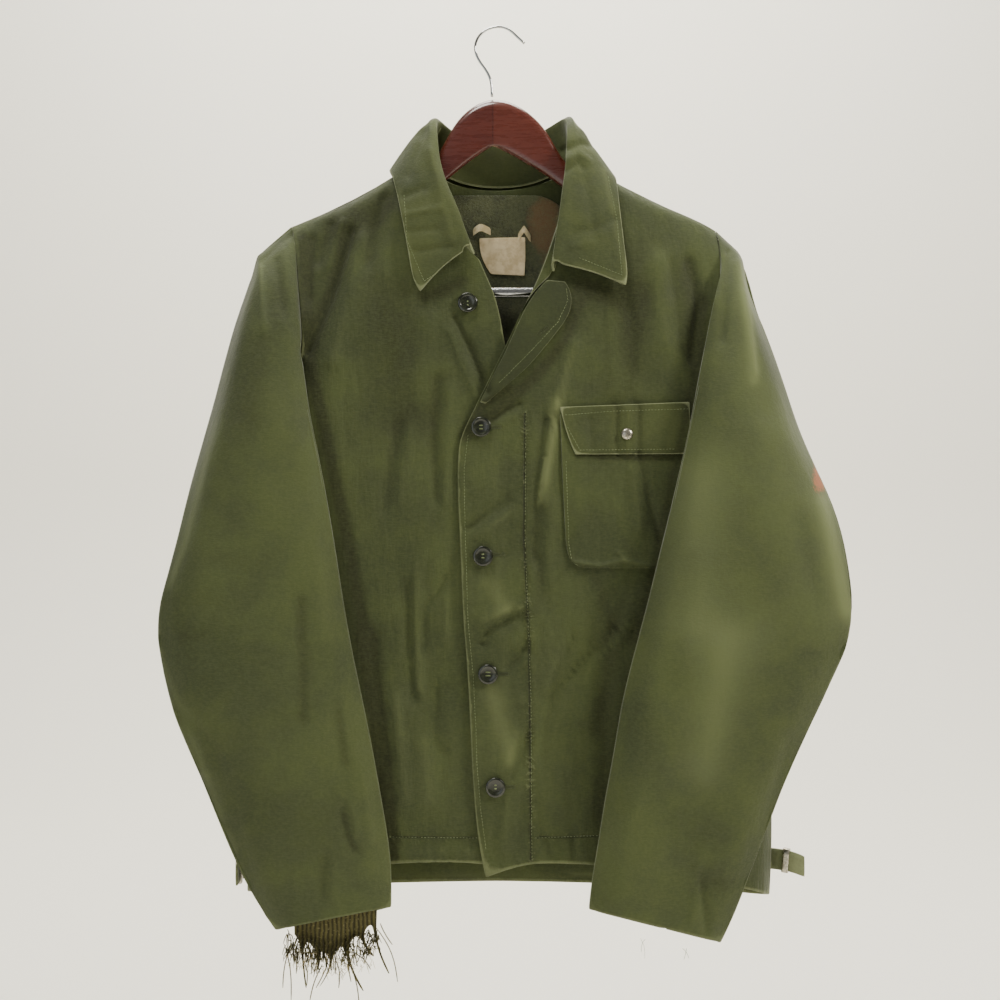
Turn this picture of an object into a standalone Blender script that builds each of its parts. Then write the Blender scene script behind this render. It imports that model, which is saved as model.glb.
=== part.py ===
"""Deck jacket hanging open at the neck on a wooden hanger.

Sizes are millimetres. Widths (x) and heights are as they look from straight in front, on the plane
of the front hem; placed() moves each point along that line of sight to its own depth. Depth grows
toward the viewer. Heights are below the inside of the hook, which is the origin.
"""

import math

import bmesh
import bpy
from mathutils import Matrix, Vector
from mathutils.bvhtree import BVHTree

for old in list(bpy.data.objects):
    bpy.data.objects.remove(old, do_unlink=True)

MM = 0.001

# Where the jacket is seen from
EYE_X = 6.9
EYE_HEIGHT = -462.3
EYE_DISTANCE = 1430.0
SEEN_DEPTH = 30.0

# Cloth and seams
CLOTH = 3.0
THIN_CLOTH = 1.8
SEAM = 0.15
HIDDEN_SEAM = 1.2
LAID_GAP = 0.5
POCKET_GAP = 0.8
OVERLAP_LIFT = 3.7
OVERLAP_X = 21.0
SIDE_ROUND = 48.0
NECK_SHARE = 0.35

# Fittings
WIRE_RADIUS = 1.4
BAR_RADIUS = 6.0
WOOD_HALF = 5.8
STRAP_WIDTH = 20.0
STRAP_THICK = 2.2
SLIDE_ROOM = 0.5
SLIDE_WIRE = 1.5
SLIDE_LONG = 6.4


def table(columns, *rows):
    return [dict(zip(columns, row)) for row in rows]


def read(rows, key, value, column):
    """A column where the key column reaches value: smooth between rows, held past both ends."""
    ordered = rows if rows[0][key] < rows[-1][key] else rows[::-1]
    if value <= ordered[0][key]:
        return ordered[0][column]
    if value >= ordered[-1][key]:
        return ordered[-1][column]
    i = max(k for k, row in enumerate(ordered) if row[key] <= value)
    i = min(i, len(ordered) - 2)

    def slope(k):
        return (ordered[k + 1][column] - ordered[k][column]) / (ordered[k + 1][key] - ordered[k][key])

    def tangent(k):
        if k == 0:
            return slope(0)
        if k == len(ordered) - 1:
            return slope(k - 1)
        a, b = slope(k - 1), slope(k)
        return 0.0 if a * b <= 0 else 2 * a * b / (a + b)

    span = ordered[i + 1][key] - ordered[i][key]
    t = (value - ordered[i][key]) / span
    start, end = ordered[i][column], ordered[i + 1][column]
    return (
        (2 * t**3 - 3 * t**2 + 1) * start
        + (t**3 - 2 * t**2 + t) * span * tangent(i)
        + (3 * t**2 - 2 * t**3) * end
        + (t**3 - t**2) * span * tangent(i + 1)
    )


def mix(a, b, t):
    return a + (b - a) * t


def ease(t):
    t = min(max(t, 0.0), 1.0)
    return t * t * (3 - 2 * t)


def placed(x, depth, height):
    scale = (EYE_DISTANCE - depth) / (EYE_DISTANCE - SEEN_DEPTH)
    seen = Vector((EYE_X + (x - EYE_X) * scale, -depth, EYE_HEIGHT + (height - EYE_HEIGHT) * scale))
    return seen * MM


# How far the cloth stands out, by its drop below the shoulder line
DRAPE = table(
    ("drop", "front", "back"),
    (0.0, 0.0, 0.0),
    (2.6, 6.6, 6.6),
    (8.2, 10.6, 10.4),
    (20.0, 14.5, 12.5),
    (45.0, 21.0, 15.0),
    (90.0, 29.0, 18.0),
    (150.0, 35.0, 20.0),
    (260.0, 39.0, 21.5),
    (420.0, 42.0, 22.0),
    (720.0, 41.0, 22.0),
)

# Armhole from the shoulder point to the underarm (10 rows), then the side seam to the hem
SIDE_COLUMNS = ("height", "front_x", "front_depth", "back_x", "back_depth")
RIGHT_SIDE = table(
    SIDE_COLUMNS,
    (-200.0, -193.0, 0.0, -193.0, 0.0),
    (-202.5, -192.5, 5.5, -193.0, 5.5),
    (-208.0, -191.0, 9.0, -194.0, 8.5),
    (-220.0, -189.5, 16.0, -195.0, 11.0),
    (-240.0, -187.5, 22.0, -197.0, 13.0),
    (-275.0, -185.0, 30.0, -200.0, 15.0),
    (-315.0, -181.0, 32.0, -205.0, 15.0),
    (-345.0, -192.0, 22.0, -213.0, 12.0),
    (-372.0, -216.0, 9.0, -228.0, 7.0),
    (-392.0, -238.0, 0.0, -238.0, 0.0),
    (-425.0, -235.0, 0.0, -235.0, 0.0),
    (-465.0, -234.0, 0.0, -234.0, 0.0),
    (-510.0, -235.0, 0.0, -235.0, 0.0),
    (-560.0, -237.0, 0.0, -237.0, 0.0),
    (-610.0, -236.0, 0.0, -236.0, 0.0),
    (-660.0, -236.0, 0.0, -236.0, 0.0),
    (-705.0, -236.0, 0.0, -236.0, 0.0),
    (-750.0, -236.0, 0.0, -236.0, 0.0),
    (-795.0, -236.0, 0.0, -236.0, 0.0),
    (-838.0, -236.0, 0.0, -236.0, 0.0),
)
LEFT_SIDE = table(
    SIDE_COLUMNS,
    (-204.0, 214.0, 0.0, 214.0, 0.0),
    (-206.5, 214.5, 5.5, 214.5, 5.5),
    (-212.0, 216.0, 9.0, 216.0, 8.5),
    (-224.0, 218.0, 16.0, 218.0, 11.0),
    (-244.0, 218.5, 22.0, 220.0, 13.0),
    (-275.0, 217.0, 30.0, 223.0, 15.0),
    (-315.0, 214.0, 32.0, 227.0, 15.0),
    (-345.0, 222.0, 22.0, 234.0, 12.0),
    (-374.0, 242.0, 9.0, 249.0, 7.0),
    (-394.0, 260.0, 0.0, 260.0, 0.0),
    (-430.0, 259.0, 0.0, 259.0, 0.0),
    (-470.0, 260.0, 0.0, 260.0, 0.0),
    (-515.0, 264.0, 0.0, 264.0, 0.0),
    (-565.0, 270.0, 0.0, 270.0, 0.0),
    (-612.0, 270.0, 0.0, 270.0, 0.0),
    (-660.0, 269.0, 0.0, 269.0, 0.0),
    (-705.0, 268.0, 0.0, 268.0, 0.0),
    (-750.0, 268.0, 0.0, 268.0, 0.0),
    (-800.0, 268.0, 0.0, 268.0, 0.0),
    (-841.0, 266.0, 0.0, 266.0, 0.0),
)
UNDERARM = 9

# Way the wall goes in at each armhole row: outward along the arm, toward the body's middle, upward
RIM_COLUMNS = ("out", "middle", "up")
FRONT_RIMS = table(
    RIM_COLUMNS,
    (0.0, 0.05, -1.0),
    (0.1, 0.6, -0.8),
    (0.3, 0.85, -0.35),
    (0.4, 0.9, -0.1),
    (0.45, 0.9, 0.0),
    (0.5, 0.87, 0.0),
    (0.7, 0.7, 0.0),
    (0.85, 0.5, 0.2),
    (0.85, 0.2, 0.5),
    (0.3, 0.0, 0.95),
)
BACK_RIMS = table(
    RIM_COLUMNS,
    (0.0, 0.05, -1.0),
    (0.0, 0.6, -0.8),
    (0.0, 0.9, -0.4),
    (0.0, 1.0, -0.1),
    (0.0, 1.0, 0.0),
    (0.0, 1.0, 0.0),
    (0.0, 1.0, 0.0),
    (0.1, 0.95, 0.3),
    (0.2, 0.7, 0.7),
    (0.3, 0.0, 0.95),
)

# Shoulder seam from the neck point to the shoulder point
SHOULDER_COLUMNS = ("share", "x", "height")
RIGHT_SHOULDER = table(
    SHOULDER_COLUMNS,
    (0.0, -70.0, -135.0),
    (0.22, -97.0, -153.0),
    (0.44, -124.0, -169.5),
    (0.64, -149.0, -182.0),
    (0.8, -168.5, -190.0),
    (0.92, -183.0, -196.0),
    (0.975, -190.0, -199.0),
    (1.0, -193.0, -200.0),
)
LEFT_SHOULDER = table(
    SHOULDER_COLUMNS,
    (0.0, 82.0, -137.0),
    (0.22, 111.0, -153.5),
    (0.44, 140.0, -169.5),
    (0.64, 166.0, -181.5),
    (0.8, 187.0, -190.0),
    (0.92, 203.0, -197.5),
    (0.975, 210.5, -202.0),
    (1.0, 214.0, -204.0),
)

# Necklines, from the front end or the back middle to the neck point
NECK_COLUMNS = ("share", "x", "height")
RIGHT_NECK = table(
    NECK_COLUMNS,
    (0.0, -13.0, -231.0),
    (0.25, -31.0, -216.0),
    (0.5, -49.0, -193.0),
    (0.75, -63.0, -164.0),
    (1.0, -70.0, -135.0),
)
LEFT_NECK = table(
    NECK_COLUMNS,
    (0.0, 55.0, -247.0),
    (0.25, 63.0, -225.0),
    (0.5, 71.0, -197.0),
    (0.75, 78.0, -166.0),
    (1.0, 82.0, -137.0),
)
BACK_NECK_RIGHT = table(
    NECK_COLUMNS,
    (0.0, 3.0, -166.0),
    (0.25, -18.0, -165.0),
    (0.5, -38.0, -160.0),
    (0.75, -57.0, -149.0),
    (1.0, -70.0, -135.0),
)
BACK_NECK_LEFT = table(
    NECK_COLUMNS,
    (0.0, 3.0, -166.0),
    (0.25, 25.0, -165.0),
    (0.5, 46.0, -160.0),
    (0.75, 66.0, -150.0),
    (1.0, 82.0, -137.0),
)

# Front edges, from the neck to the hem
EDGE_COLUMNS = ("height", "x")
UNDER_EDGE = table(
    EDGE_COLUMNS,
    (-231.0, -13.0),
    (-251.0, -4.6),
    (-273.0, 5.0),
    (-306.0, 10.7),
    (-340.0, 16.0),
    (-400.0, 19.0),
    (-815.0, OVERLAP_X),
)
OVER_EDGE = table(
    EDGE_COLUMNS,
    (-247.0, 55.0),
    (-262.6, 38.6),
    (-278.0, 29.0),
    (-294.3, 21.3),
    (-312.5, 13.6),
    (-330.0, 5.0),
    (-346.0, -3.7),
    (-368.2, -14.2),
    (-395.0, -28.6),
    (-410.0, -33.4),
    (-445.0, -33.9),
    (-515.0, -30.6),
    (-577.5, -28.6),
    (-630.0, -23.8),
    (-683.0, -21.4),
    (-763.0, -17.1),
    (-790.0, -14.2),
    (-825.0, -7.0),
)

# Hems, by x
HEM_COLUMNS = ("x", "height")
FRONT_HEM = table(
    HEM_COLUMNS,
    (-236.0, -838.0),
    (-160.0, -822.0),
    (-96.0, -811.0),
    (-40.0, -810.0),
    (21.0, -815.0),
)
OVER_HEM = table(
    HEM_COLUMNS,
    (-7.0, -825.0),
    (8.8, -820.4),
    (19.9, -814.6),
    (34.7, -811.0),
    (93.0, -812.0),
    (180.0, -823.0),
    (266.0, -841.0),
)
BACK_HEM = table(
    HEM_COLUMNS,
    (-236.0, -838.0),
    (-96.0, -829.0),
    (3.0, -827.6),
    (93.0, -829.0),
    (180.0, -833.0),
    (266.0, -841.0),
)

# Soft folds: from one end to the other, half width, and how far the cloth stands out
FOLD_COLUMNS = ("x1", "height1", "x2", "height2", "width", "lift")
FRONT_FOLDS = table(
    FOLD_COLUMNS,
    (-138.0, -210.0, -172.0, -300.0, 15.0, -4.5),
    (-104.0, -180.0, -121.0, -235.0, 14.0, -3.0),
    (-65.0, -548.0, -63.0, -620.0, 18.0, -3.0),
    (-92.0, -560.0, -80.0, -650.0, 18.0, -2.5),
    (66.0, -300.0, 44.0, -440.0, 17.0, 3.5),
    (190.0, -250.0, 196.0, -330.0, 16.0, -4.0),
    (150.0, -240.0, 170.0, -320.0, 24.0, 3.0),
    (110.0, -580.0, 60.0, -660.0, 20.0, -3.5),
    (160.0, -560.0, 150.0, -700.0, 26.0, 2.5),
    (-140.0, -400.0, -150.0, -560.0, 26.0, 2.5),
)
BACK_FOLDS = table(
    FOLD_COLUMNS,
    (-60.0, -230.0, -90.0, -420.0, 26.0, 3.0),
    (70.0, -250.0, 95.0, -470.0, 28.0, 3.5),
    (10.0, -480.0, 0.0, -700.0, 30.0, -3.0),
    (-150.0, -470.0, -140.0, -720.0, 28.0, -2.5),
    (170.0, -430.0, 160.0, -640.0, 26.0, -3.0),
)
RIGHT_SLEEVE_FOLDS = table(
    FOLD_COLUMNS,
    (-300.0, -560.0, -230.0, -590.0, 16.0, -4.0),
    (-310.0, -620.0, -240.0, -600.0, 14.0, 3.0),
    (-215.0, -320.0, -225.0, -480.0, 22.0, 3.0),
    (-200.0, -640.0, -185.0, -790.0, 24.0, 3.0),
)
LEFT_SLEEVE_FOLDS = table(
    FOLD_COLUMNS,
    (240.0, -240.0, 248.0, -310.0, 12.0, 3.5),
    (330.0, -590.0, 250.0, -600.0, 16.0, -4.0),
    (250.0, -420.0, 262.0, -540.0, 24.0, 3.0),
    (205.0, -660.0, 190.0, -800.0, 24.0, -3.0),
    (150.0, -700.0, 140.0, -830.0, 22.0, 3.0),
)

# Sleeve rows from the shoulder to the cuff. The first ten follow the armhole rows.
# seam: where the two pieces meet behind; fold: the inner edge; corner: 1 for a flat return, 0 for
# one that comes straight forward; face: depth of the front; outer: the outline
SLEEVE_COLUMNS = (
    "height", "outer_height", "seam_x", "seam_depth", "corner", "fold_x", "fold_depth",
    "face_depth", "outer_x", "outer_depth",
)
RIGHT_SLEEVE = table(
    SLEEVE_COLUMNS,
    (-200.0, -227.0, 0.0, 0.0, 0.0, -197.5, 0.0, 0.0, -224.5, 0.0),
    (-202.5, -229.0, 0.0, 0.0, 0.5, -197.0, 6.4, 6.6, -226.0, 0.0),
    (-208.0, -233.0, 0.0, 0.0, 0.5, -196.0, 11.0, 13.0, -227.5, 1.0),
    (-220.0, -243.0, 0.0, 0.0, 0.5, -195.5, 20.0, 23.0, -230.0, 3.0),
    (-240.0, -262.0, 0.0, 0.0, 0.4, -194.0, 29.0, 34.0, -236.0, 7.0),
    (-275.0, -297.0, 0.0, 0.0, 0.3, -190.0, 40.0, 47.0, -249.0, 13.0),
    (-315.0, -338.0, 0.0, 0.0, 0.0, -184.0, 46.0, 57.0, -260.0, 20.0),
    (-345.0, -370.0, 0.0, 0.0, -0.3, -180.0, 50.0, 64.0, -268.0, 25.0),
    (-372.0, -397.0, 0.0, 0.0, -0.45, -176.0, 53.0, 69.0, -276.0, 30.0),
    (-392.0, -418.0, 0.0, 0.0, -0.45, -172.0, 55.0, 73.0, -282.0, 34.0),
    (-425.0, -450.0, -252.0, 14.0, -0.2, -164.5, 58.0, 77.0, -291.0, 42.0),
    (-465.0, -490.0, -243.0, 38.0, 0.0, -157.0, 61.0, 81.0, -300.5, 50.0),
    (-510.0, -530.0, -232.0, 50.0, 0.9, -150.0, 63.0, 84.0, -311.0, 59.0),
    (-560.0, -577.0, -222.0, 53.0, 1.0, -143.0, 65.0, 86.0, -325.0, 64.0),
    (-610.0, -625.0, -215.0, 54.0, 1.0, -134.0, 67.0, 88.0, -317.5, 66.0),
    (-660.0, -672.0, -208.0, 54.0, 1.0, -123.0, 68.0, 89.0, -306.0, 67.0),
    (-705.0, -720.0, -200.0, 54.0, 1.0, -114.0, 69.0, 88.0, -283.5, 67.0),
    (-750.0, -770.0, -190.0, 54.0, 1.0, -106.0, 69.0, 86.0, -263.5, 67.0),
    (-795.0, -816.0, -178.0, 53.0, 1.0, -98.5, 68.0, 82.0, -244.0, 66.0),
    (-825.0, -848.0, -165.0, 52.0, 1.0, -96.5, 67.0, 80.0, -227.0, 66.0),
    (-853.0, -875.0, -153.0, 52.0, 1.0, -97.0, 66.0, 79.0, -209.0, 65.0),
)
LEFT_SLEEVE = table(
    SLEEVE_COLUMNS,
    (-204.0, -223.5, 0.0, 0.0, 0.0, 218.0, 0.0, 0.0, 235.0, 0.0),
    (-206.5, -227.0, 0.0, 0.0, 0.5, 218.5, 6.4, 6.6, 237.5, 0.0),
    (-212.0, -232.0, 0.0, 0.0, 0.5, 219.5, 11.0, 13.0, 239.5, 1.0),
    (-224.0, -243.0, 0.0, 0.0, 0.5, 221.5, 20.0, 23.0, 241.5, 3.0),
    (-244.0, -262.0, 0.0, 0.0, 0.3, 219.0, 31.0, 35.0, 245.0, 7.0),
    (-275.0, -297.0, 0.0, 0.0, 0.1, 211.0, 42.0, 48.0, 260.0, 13.0),
    (-315.0, -338.0, 0.0, 0.0, 0.0, 203.0, 48.0, 58.0, 275.5, 20.0),
    (-345.0, -370.0, 0.0, 0.0, -0.3, 196.7, 52.0, 65.0, 285.5, 25.0),
    (-374.0, -397.0, 0.0, 0.0, -0.45, 191.0, 55.0, 70.0, 295.0, 30.0),
    (-394.0, -418.0, 0.0, 0.0, -0.45, 187.0, 57.0, 74.0, 304.0, 34.0),
    (-430.0, -452.0, 275.0, 14.0, -0.2, 178.5, 60.0, 79.0, 320.0, 42.0),
    (-470.0, -490.0, 270.0, 38.0, 0.0, 169.3, 63.0, 83.0, 334.5, 50.0),
    (-515.0, -533.0, 260.0, 51.0, 0.9, 158.8, 65.0, 87.0, 342.0, 59.0),
    (-565.0, -588.0, 250.0, 55.0, 1.0, 147.0, 67.0, 89.0, 347.5, 64.0),
    (-612.0, -634.0, 240.0, 56.0, 1.0, 134.0, 69.0, 90.0, 326.0, 66.0),
    (-660.0, -681.0, 230.0, 56.0, 1.0, 122.0, 70.0, 90.0, 304.0, 67.0),
    (-705.0, -730.0, 218.0, 55.0, 1.0, 115.6, 70.0, 88.0, 281.0, 67.0),
    (-750.0, -776.0, 207.0, 54.0, 1.0, 106.5, 70.0, 86.0, 264.0, 67.0),
    (-795.0, -820.0, 194.0, 53.0, 1.0, 100.0, 69.0, 82.0, 247.0, 66.0),
    (-828.0, -856.0, 180.0, 52.0, 1.0, 94.0, 68.0, 80.0, 234.0, 66.0),
    (-855.0, -887.0, 165.0, 52.0, 1.0, 91.5, 67.0, 79.0, 219.0, 65.0),
)
RETURN_STEPS = 3
FACE_STEPS = 7
BACK_STEPS = 6
FACE_ROUND = 2.6
BACK_ROUND = 2.2


# Colours and finishes

def finish(name, red, green, blue, roughness, metallic=0.0):
    made = bpy.data.materials.new(name)
    made.use_nodes = True
    shader = made.node_tree.nodes["Principled BSDF"]
    shader.inputs["Base Color"].default_value = (red, green, blue, 1.0)
    shader.inputs["Roughness"].default_value = roughness
    shader.inputs["Metallic"].default_value = metallic
    return made


SATEEN = finish("olive_cotton_sateen", 0.085, 0.095, 0.042, 0.8)
PILE = finish("grey_green_pile", 0.05, 0.052, 0.03, 0.95)
LABEL_COTTON = finish("cream_cotton", 0.45, 0.36, 0.2, 0.85)
TORN_KNIT = finish("dark_olive_knit", 0.05, 0.042, 0.008, 0.95)
PLASTIC = finish("olive_plastic", 0.04, 0.042, 0.022, 0.3)
NICKEL = finish("nickel", 0.55, 0.53, 0.48, 0.3, 1.0)
STEEL = finish("polished_steel", 0.6, 0.6, 0.6, 0.2, 1.0)
WOOD = finish("stained_wood", 0.14, 0.05, 0.035, 0.35)


# Building tools

def make_object(name, mesh, material):
    mesh.materials.append(material)
    mesh.shade_smooth()
    mesh.set_sharp_from_angle(angle=math.radians(50))
    made = bpy.data.objects.new(name, mesh)
    bpy.context.scene.collection.objects.link(made)
    return made


def mesh_from(name, bm, material):
    bmesh.ops.remove_doubles(bm, verts=bm.verts, dist=0.00001)
    if bm.calc_volume(signed=True) < 0:
        bmesh.ops.reverse_faces(bm, faces=bm.faces)
    mesh = bpy.data.meshes.new(name)
    bm.to_mesh(mesh)
    bm.free()
    return make_object(name, mesh, material)


def grid_normals(grid, facing):
    """Outward normal at each point of a grid, on the side that facing points to."""
    rows, columns = len(grid), len(grid[0])
    normals = [[Vector() for _ in range(columns)] for _ in range(rows)]
    total = Vector()
    for r in range(rows - 1):
        for c in range(columns - 1):
            across = grid[r + 1][c + 1] - grid[r][c]
            down = grid[r + 1][c] - grid[r][c + 1]
            turned_to = across.cross(down)
            total += turned_to
            for rr, cc in ((r, c), (r + 1, c), (r, c + 1), (r + 1, c + 1)):
                normals[rr][cc] += turned_to
    sign = 1 if total.dot(facing) > 0 else -1
    return [[(sign * n).normalized() for n in row] for row in normals]


def wall(name, grid, thick, facing, material, rims=None):
    """A closed wall behind a grid of outer points. rims gives the way in at chosen edge points."""
    rims = rims or {}
    rows, columns = len(grid), len(grid[0])
    normals = grid_normals(grid, Vector(facing))
    bm = bmesh.new()
    outer, inner = [], []
    for r in range(rows):
        outer.append([bm.verts.new(point) for point in grid[r]])
        row = []
        for c in range(columns):
            way = rims.get((r, c))
            way = way.normalized() if way else -normals[r][c]
            row.append(bm.verts.new(grid[r][c] + way * thick * MM))
        inner.append(row)
    for r in range(rows - 1):
        for c in range(columns - 1):
            bm.faces.new((outer[r][c], outer[r][c + 1], outer[r + 1][c + 1], outer[r + 1][c]))
            bm.faces.new((inner[r + 1][c], inner[r + 1][c + 1], inner[r][c + 1], inner[r][c]))
    edge = [(0, c) for c in range(columns)]
    edge += [(r, columns - 1) for r in range(1, rows)]
    edge += [(rows - 1, c) for c in range(columns - 2, -1, -1)]
    edge += [(r, 0) for r in range(rows - 2, 0, -1)]
    for (r1, c1), (r2, c2) in zip(edge, edge[1:] + edge[:1]):
        bm.faces.new((outer[r2][c2], outer[r1][c1], inner[r1][c1], inner[r2][c2]))
    bmesh.ops.recalc_face_normals(bm, faces=bm.faces)
    return mesh_from(name, bm, material)


def turned(name, profile, sides, matrix, material):
    """A closed round piece from a profile of (radius, height) that starts and ends on the axis."""
    bm = bmesh.new()
    line = [bm.verts.new((radius * MM, 0, height * MM)) for radius, height in profile]
    edges = [bm.edges.new(pair) for pair in zip(line, line[1:])]
    bmesh.ops.spin(
        bm, geom=line + edges, cent=(0, 0, 0), axis=(0, 0, 1), angle=2 * math.pi, steps=sides, use_merge=True
    )
    bmesh.ops.remove_doubles(bm, verts=bm.verts, dist=0.00001)
    bmesh.ops.recalc_face_normals(bm, faces=bm.faces)
    bmesh.ops.transform(bm, matrix=matrix, verts=bm.verts)
    return mesh_from(name, bm, material)


def rod(name, points, radius, material):
    """A round rod with filled caps along points in millimetres."""
    curve = bpy.data.curves.new(name, "CURVE")
    curve.dimensions = "3D"
    curve.bevel_depth = radius * MM
    curve.bevel_resolution = 2
    curve.use_fill_caps = True
    spline = curve.splines.new("POLY")
    spline.points.add(len(points) - 1)
    for point, (x, y, z) in zip(spline.points, points):
        point.co = (x * MM, y * MM, z * MM, 1.0)
    curve.materials.append(material)
    made = bpy.data.objects.new(name, curve)
    bpy.context.scene.collection.objects.link(made)
    return made


def surface_of(made):
    """The object's faces as a tree that can be asked where a line of sight meets them."""
    made.data.calc_loop_triangles()
    return BVHTree.FromPolygons(
        [v.co.copy() for v in made.data.vertices], [tuple(t.vertices) for t in made.data.loop_triangles]
    )


def seen_on(surface, x, height, lift):
    """The point of a surface seen at x and height, moved lift toward the eye."""
    eye = Vector((EYE_X, -EYE_DISTANCE, EYE_HEIGHT)) * MM
    way = (placed(x, SEEN_DEPTH, height) - eye).normalized()
    hit = surface.ray_cast(eye, way)[0]
    return hit - way * lift * MM


def facing_on(surface, x, height):
    """A matrix whose origin is on the surface and whose +Z points out of it."""
    spread = 6.0
    across = seen_on(surface, x + spread, height, 0) - seen_on(surface, x - spread, height, 0)
    up = seen_on(surface, x, height + spread, 0) - seen_on(surface, x, height - spread, 0)
    out = across.cross(up).normalized()
    side = across.normalized()
    turn = Matrix((side, out.cross(side), out)).transposed().to_4x4()
    return Matrix.Translation(seen_on(surface, x, height, 0)) @ turn


# Body panels

def folded(x, height, folds):
    total = 0.0
    for fold in folds:
        dx, dh = fold["x2"] - fold["x1"], fold["height2"] - fold["height1"]
        t = ((x - fold["x1"]) * dx + (height - fold["height1"]) * dh) / (dx * dx + dh * dh)
        t = min(max(t, 0.0), 1.0)
        away = math.hypot(x - fold["x1"] - t * dx, height - fold["height1"] - t * dh)
        total += fold["lift"] * math.exp(-((away / fold["width"]) ** 2))
    return total


def body_depth(x, height, side, shoulder, face):
    """How far the front or back stands out at a place."""
    drop = read(shoulder, "x", x, "height") - height
    base = read(DRAPE, "drop", drop, face)
    edge = read(side, "height", height, face + "_depth")
    away = abs(read(side, "height", height, face + "_x")) - abs(x)
    q = math.sqrt(max(0.0, 1 - (1 - min(max(away, 0.0) / SIDE_ROUND, 1.0)) ** 2))
    folds = FRONT_FOLDS if face == "front" else BACK_FOLDS
    return edge + (base - edge + folded(x, height, folds) * ease(drop / 60)) * q


COLUMN_SHARES = [NECK_SHARE * s / 4 for s in range(4)]
COLUMN_SHARES += [mix(NECK_SHARE, 1.0, row["share"]) for row in RIGHT_SHOULDER]


def top_edge(u, neck, shoulder):
    if u <= NECK_SHARE:
        rows, share = neck, u / NECK_SHARE
    else:
        rows, share = shoulder, (u - NECK_SHARE) / (1 - NECK_SHARE)
    return read(rows, "share", share, "x"), read(rows, "share", share, "height")


def patch(centre, side, neck, shoulder, hem, face):
    """Rows from the shoulder to the hem, each from the centre to the side, as (x, height)."""
    top, bottom = side[0]["height"], side[-1]["height"]
    centre_top, centre_bottom = centre[0]["height"], centre[-1]["height"]

    def centre_at(v):
        height = mix(centre_bottom, centre_top, v)
        return read(centre, "height", height, "x"), height

    def hem_at(u):
        x = mix(centre[-1]["x"], side[-1]["front_x"], u)
        return x, read(hem, "x", x, "height")

    rows = []
    for station in side:
        v = (station["height"] - bottom) / (top - bottom)
        line = []
        for u in COLUMN_SHARES:
            point = []
            for axis in (0, 1):
                edge = (station[face + "_x"], station["height"])[axis]
                first, last = centre_at(v)[axis], edge
                low, high = hem_at(u)[axis], top_edge(u, neck, shoulder)[axis]
                corners = (
                    (1 - u) * (1 - v) * centre_at(0)[axis]
                    + u * (1 - v) * hem_at(1)[axis]
                    + (1 - u) * v * centre_at(1)[axis]
                    + u * v * top_edge(1, neck, shoulder)[axis]
                )
                point.append((1 - u) * first + u * last + (1 - v) * low + v * high - corners)
            line.append(tuple(point))
        rows.append(line)
    return rows


def seam_gap(r):
    """Half the gap along the arm at a row: wider where the lower armhole is hidden."""
    return HIDDEN_SEAM if UNDERARM - 3 < r <= UNDERARM else SEAM


def rim_way(rim, outward, forward):
    """outward is the sign of x along the arm; forward is +1 on a back piece, -1 on a front one."""
    return Vector((rim["out"] * outward, -rim["middle"] * forward, rim["up"]))


def panel_rims(grid, outward, forward, rims, side_column, shoulder_columns):
    ways = {}
    for c in shoulder_columns:
        ways[(0, c)] = Vector((0, -0.05 * forward, -1))
    for r in range(len(grid)):
        if r <= UNDERARM:
            ways[(r, side_column)] = rim_way(rims[r], outward, forward)
            if r > UNDERARM - 3:
                ways[(r, side_column)].x *= -0.3
        else:
            ways[(r, side_column)] = Vector((-outward, 0, 0))
    return ways


def front_panel(name, centre, side, neck, shoulder, hem, outward, over):
    grid = []
    for r, line in enumerate(patch(centre, side, neck, shoulder, hem, "front")):
        row = []
        for c, (x, height) in enumerate(line):
            depth = body_depth(x, height, side, shoulder, "front") + SEAM
            if over:
                depth += OVERLAP_LIFT * (1 - ease((x - OVERLAP_X) / 60))
            seam_x = seam_gap(r) * outward if c == len(line) - 1 else 0.0
            row.append(placed(x - seam_x, depth, height))
        grid.append(row)
    last = len(grid[0]) - 1
    rims = panel_rims(grid, outward, -1, FRONT_RIMS, last, range(4, last))
    return wall(name, grid, CLOTH, (0, -1, 0), SATEEN, rims)


def back_panel():
    """Both halves in one grid: wearer's right side, middle, left side."""
    middle = table(EDGE_COLUMNS, (-166.0, 3.0), (-827.6, 3.0))
    right = patch(middle, RIGHT_SIDE, BACK_NECK_RIGHT, RIGHT_SHOULDER, BACK_HEM, "back")
    left = patch(middle, LEFT_SIDE, BACK_NECK_LEFT, LEFT_SHOULDER, BACK_HEM, "back")
    grid = []
    for r, (line_right, line_left) in enumerate(zip(right, left)):
        row = []
        for c, (x, height) in enumerate(line_right[::-1] + line_left[1:]):
            half = c < len(line_right)
            side = RIGHT_SIDE if half else LEFT_SIDE
            shoulder = RIGHT_SHOULDER if half else LEFT_SHOULDER
            depth = body_depth(x, height, side, shoulder, "back") + SEAM
            ends = {0: seam_gap(r), len(line_right) + len(line_left) - 2: -seam_gap(r)}
            seam_x = ends.get(c, 0.0)
            row.append(placed(x + seam_x, -depth, height))
        grid.append(row)
    last = len(grid[0]) - 1
    half = last // 2
    rims = panel_rims(grid, -1, 1, BACK_RIMS, 0, range(1, half - 3))
    rims.update(panel_rims(grid, 1, 1, BACK_RIMS, last, range(half + 4, last)))
    return wall("back", grid, CLOTH, (0, 1, 0), SATEEN, rims)


# Sleeves

def seam_of(row, r, side, face):
    """Where a sleeve piece starts: on the armhole, or on the seam behind the sleeve."""
    if r > UNDERARM:
        return row["seam_x"], row["seam_depth"]
    forward = 1 if face == "front" else -1
    return side[r][face + "_x"], side[r][face + "_depth"] * forward


def sleeve_height(row, seam_x, x):
    share = (x - seam_x) / (row["outer_x"] - seam_x)
    inner = min(max(share, 0.0), 1.0)
    return mix(row["height"], row["outer_height"], inner)


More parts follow.
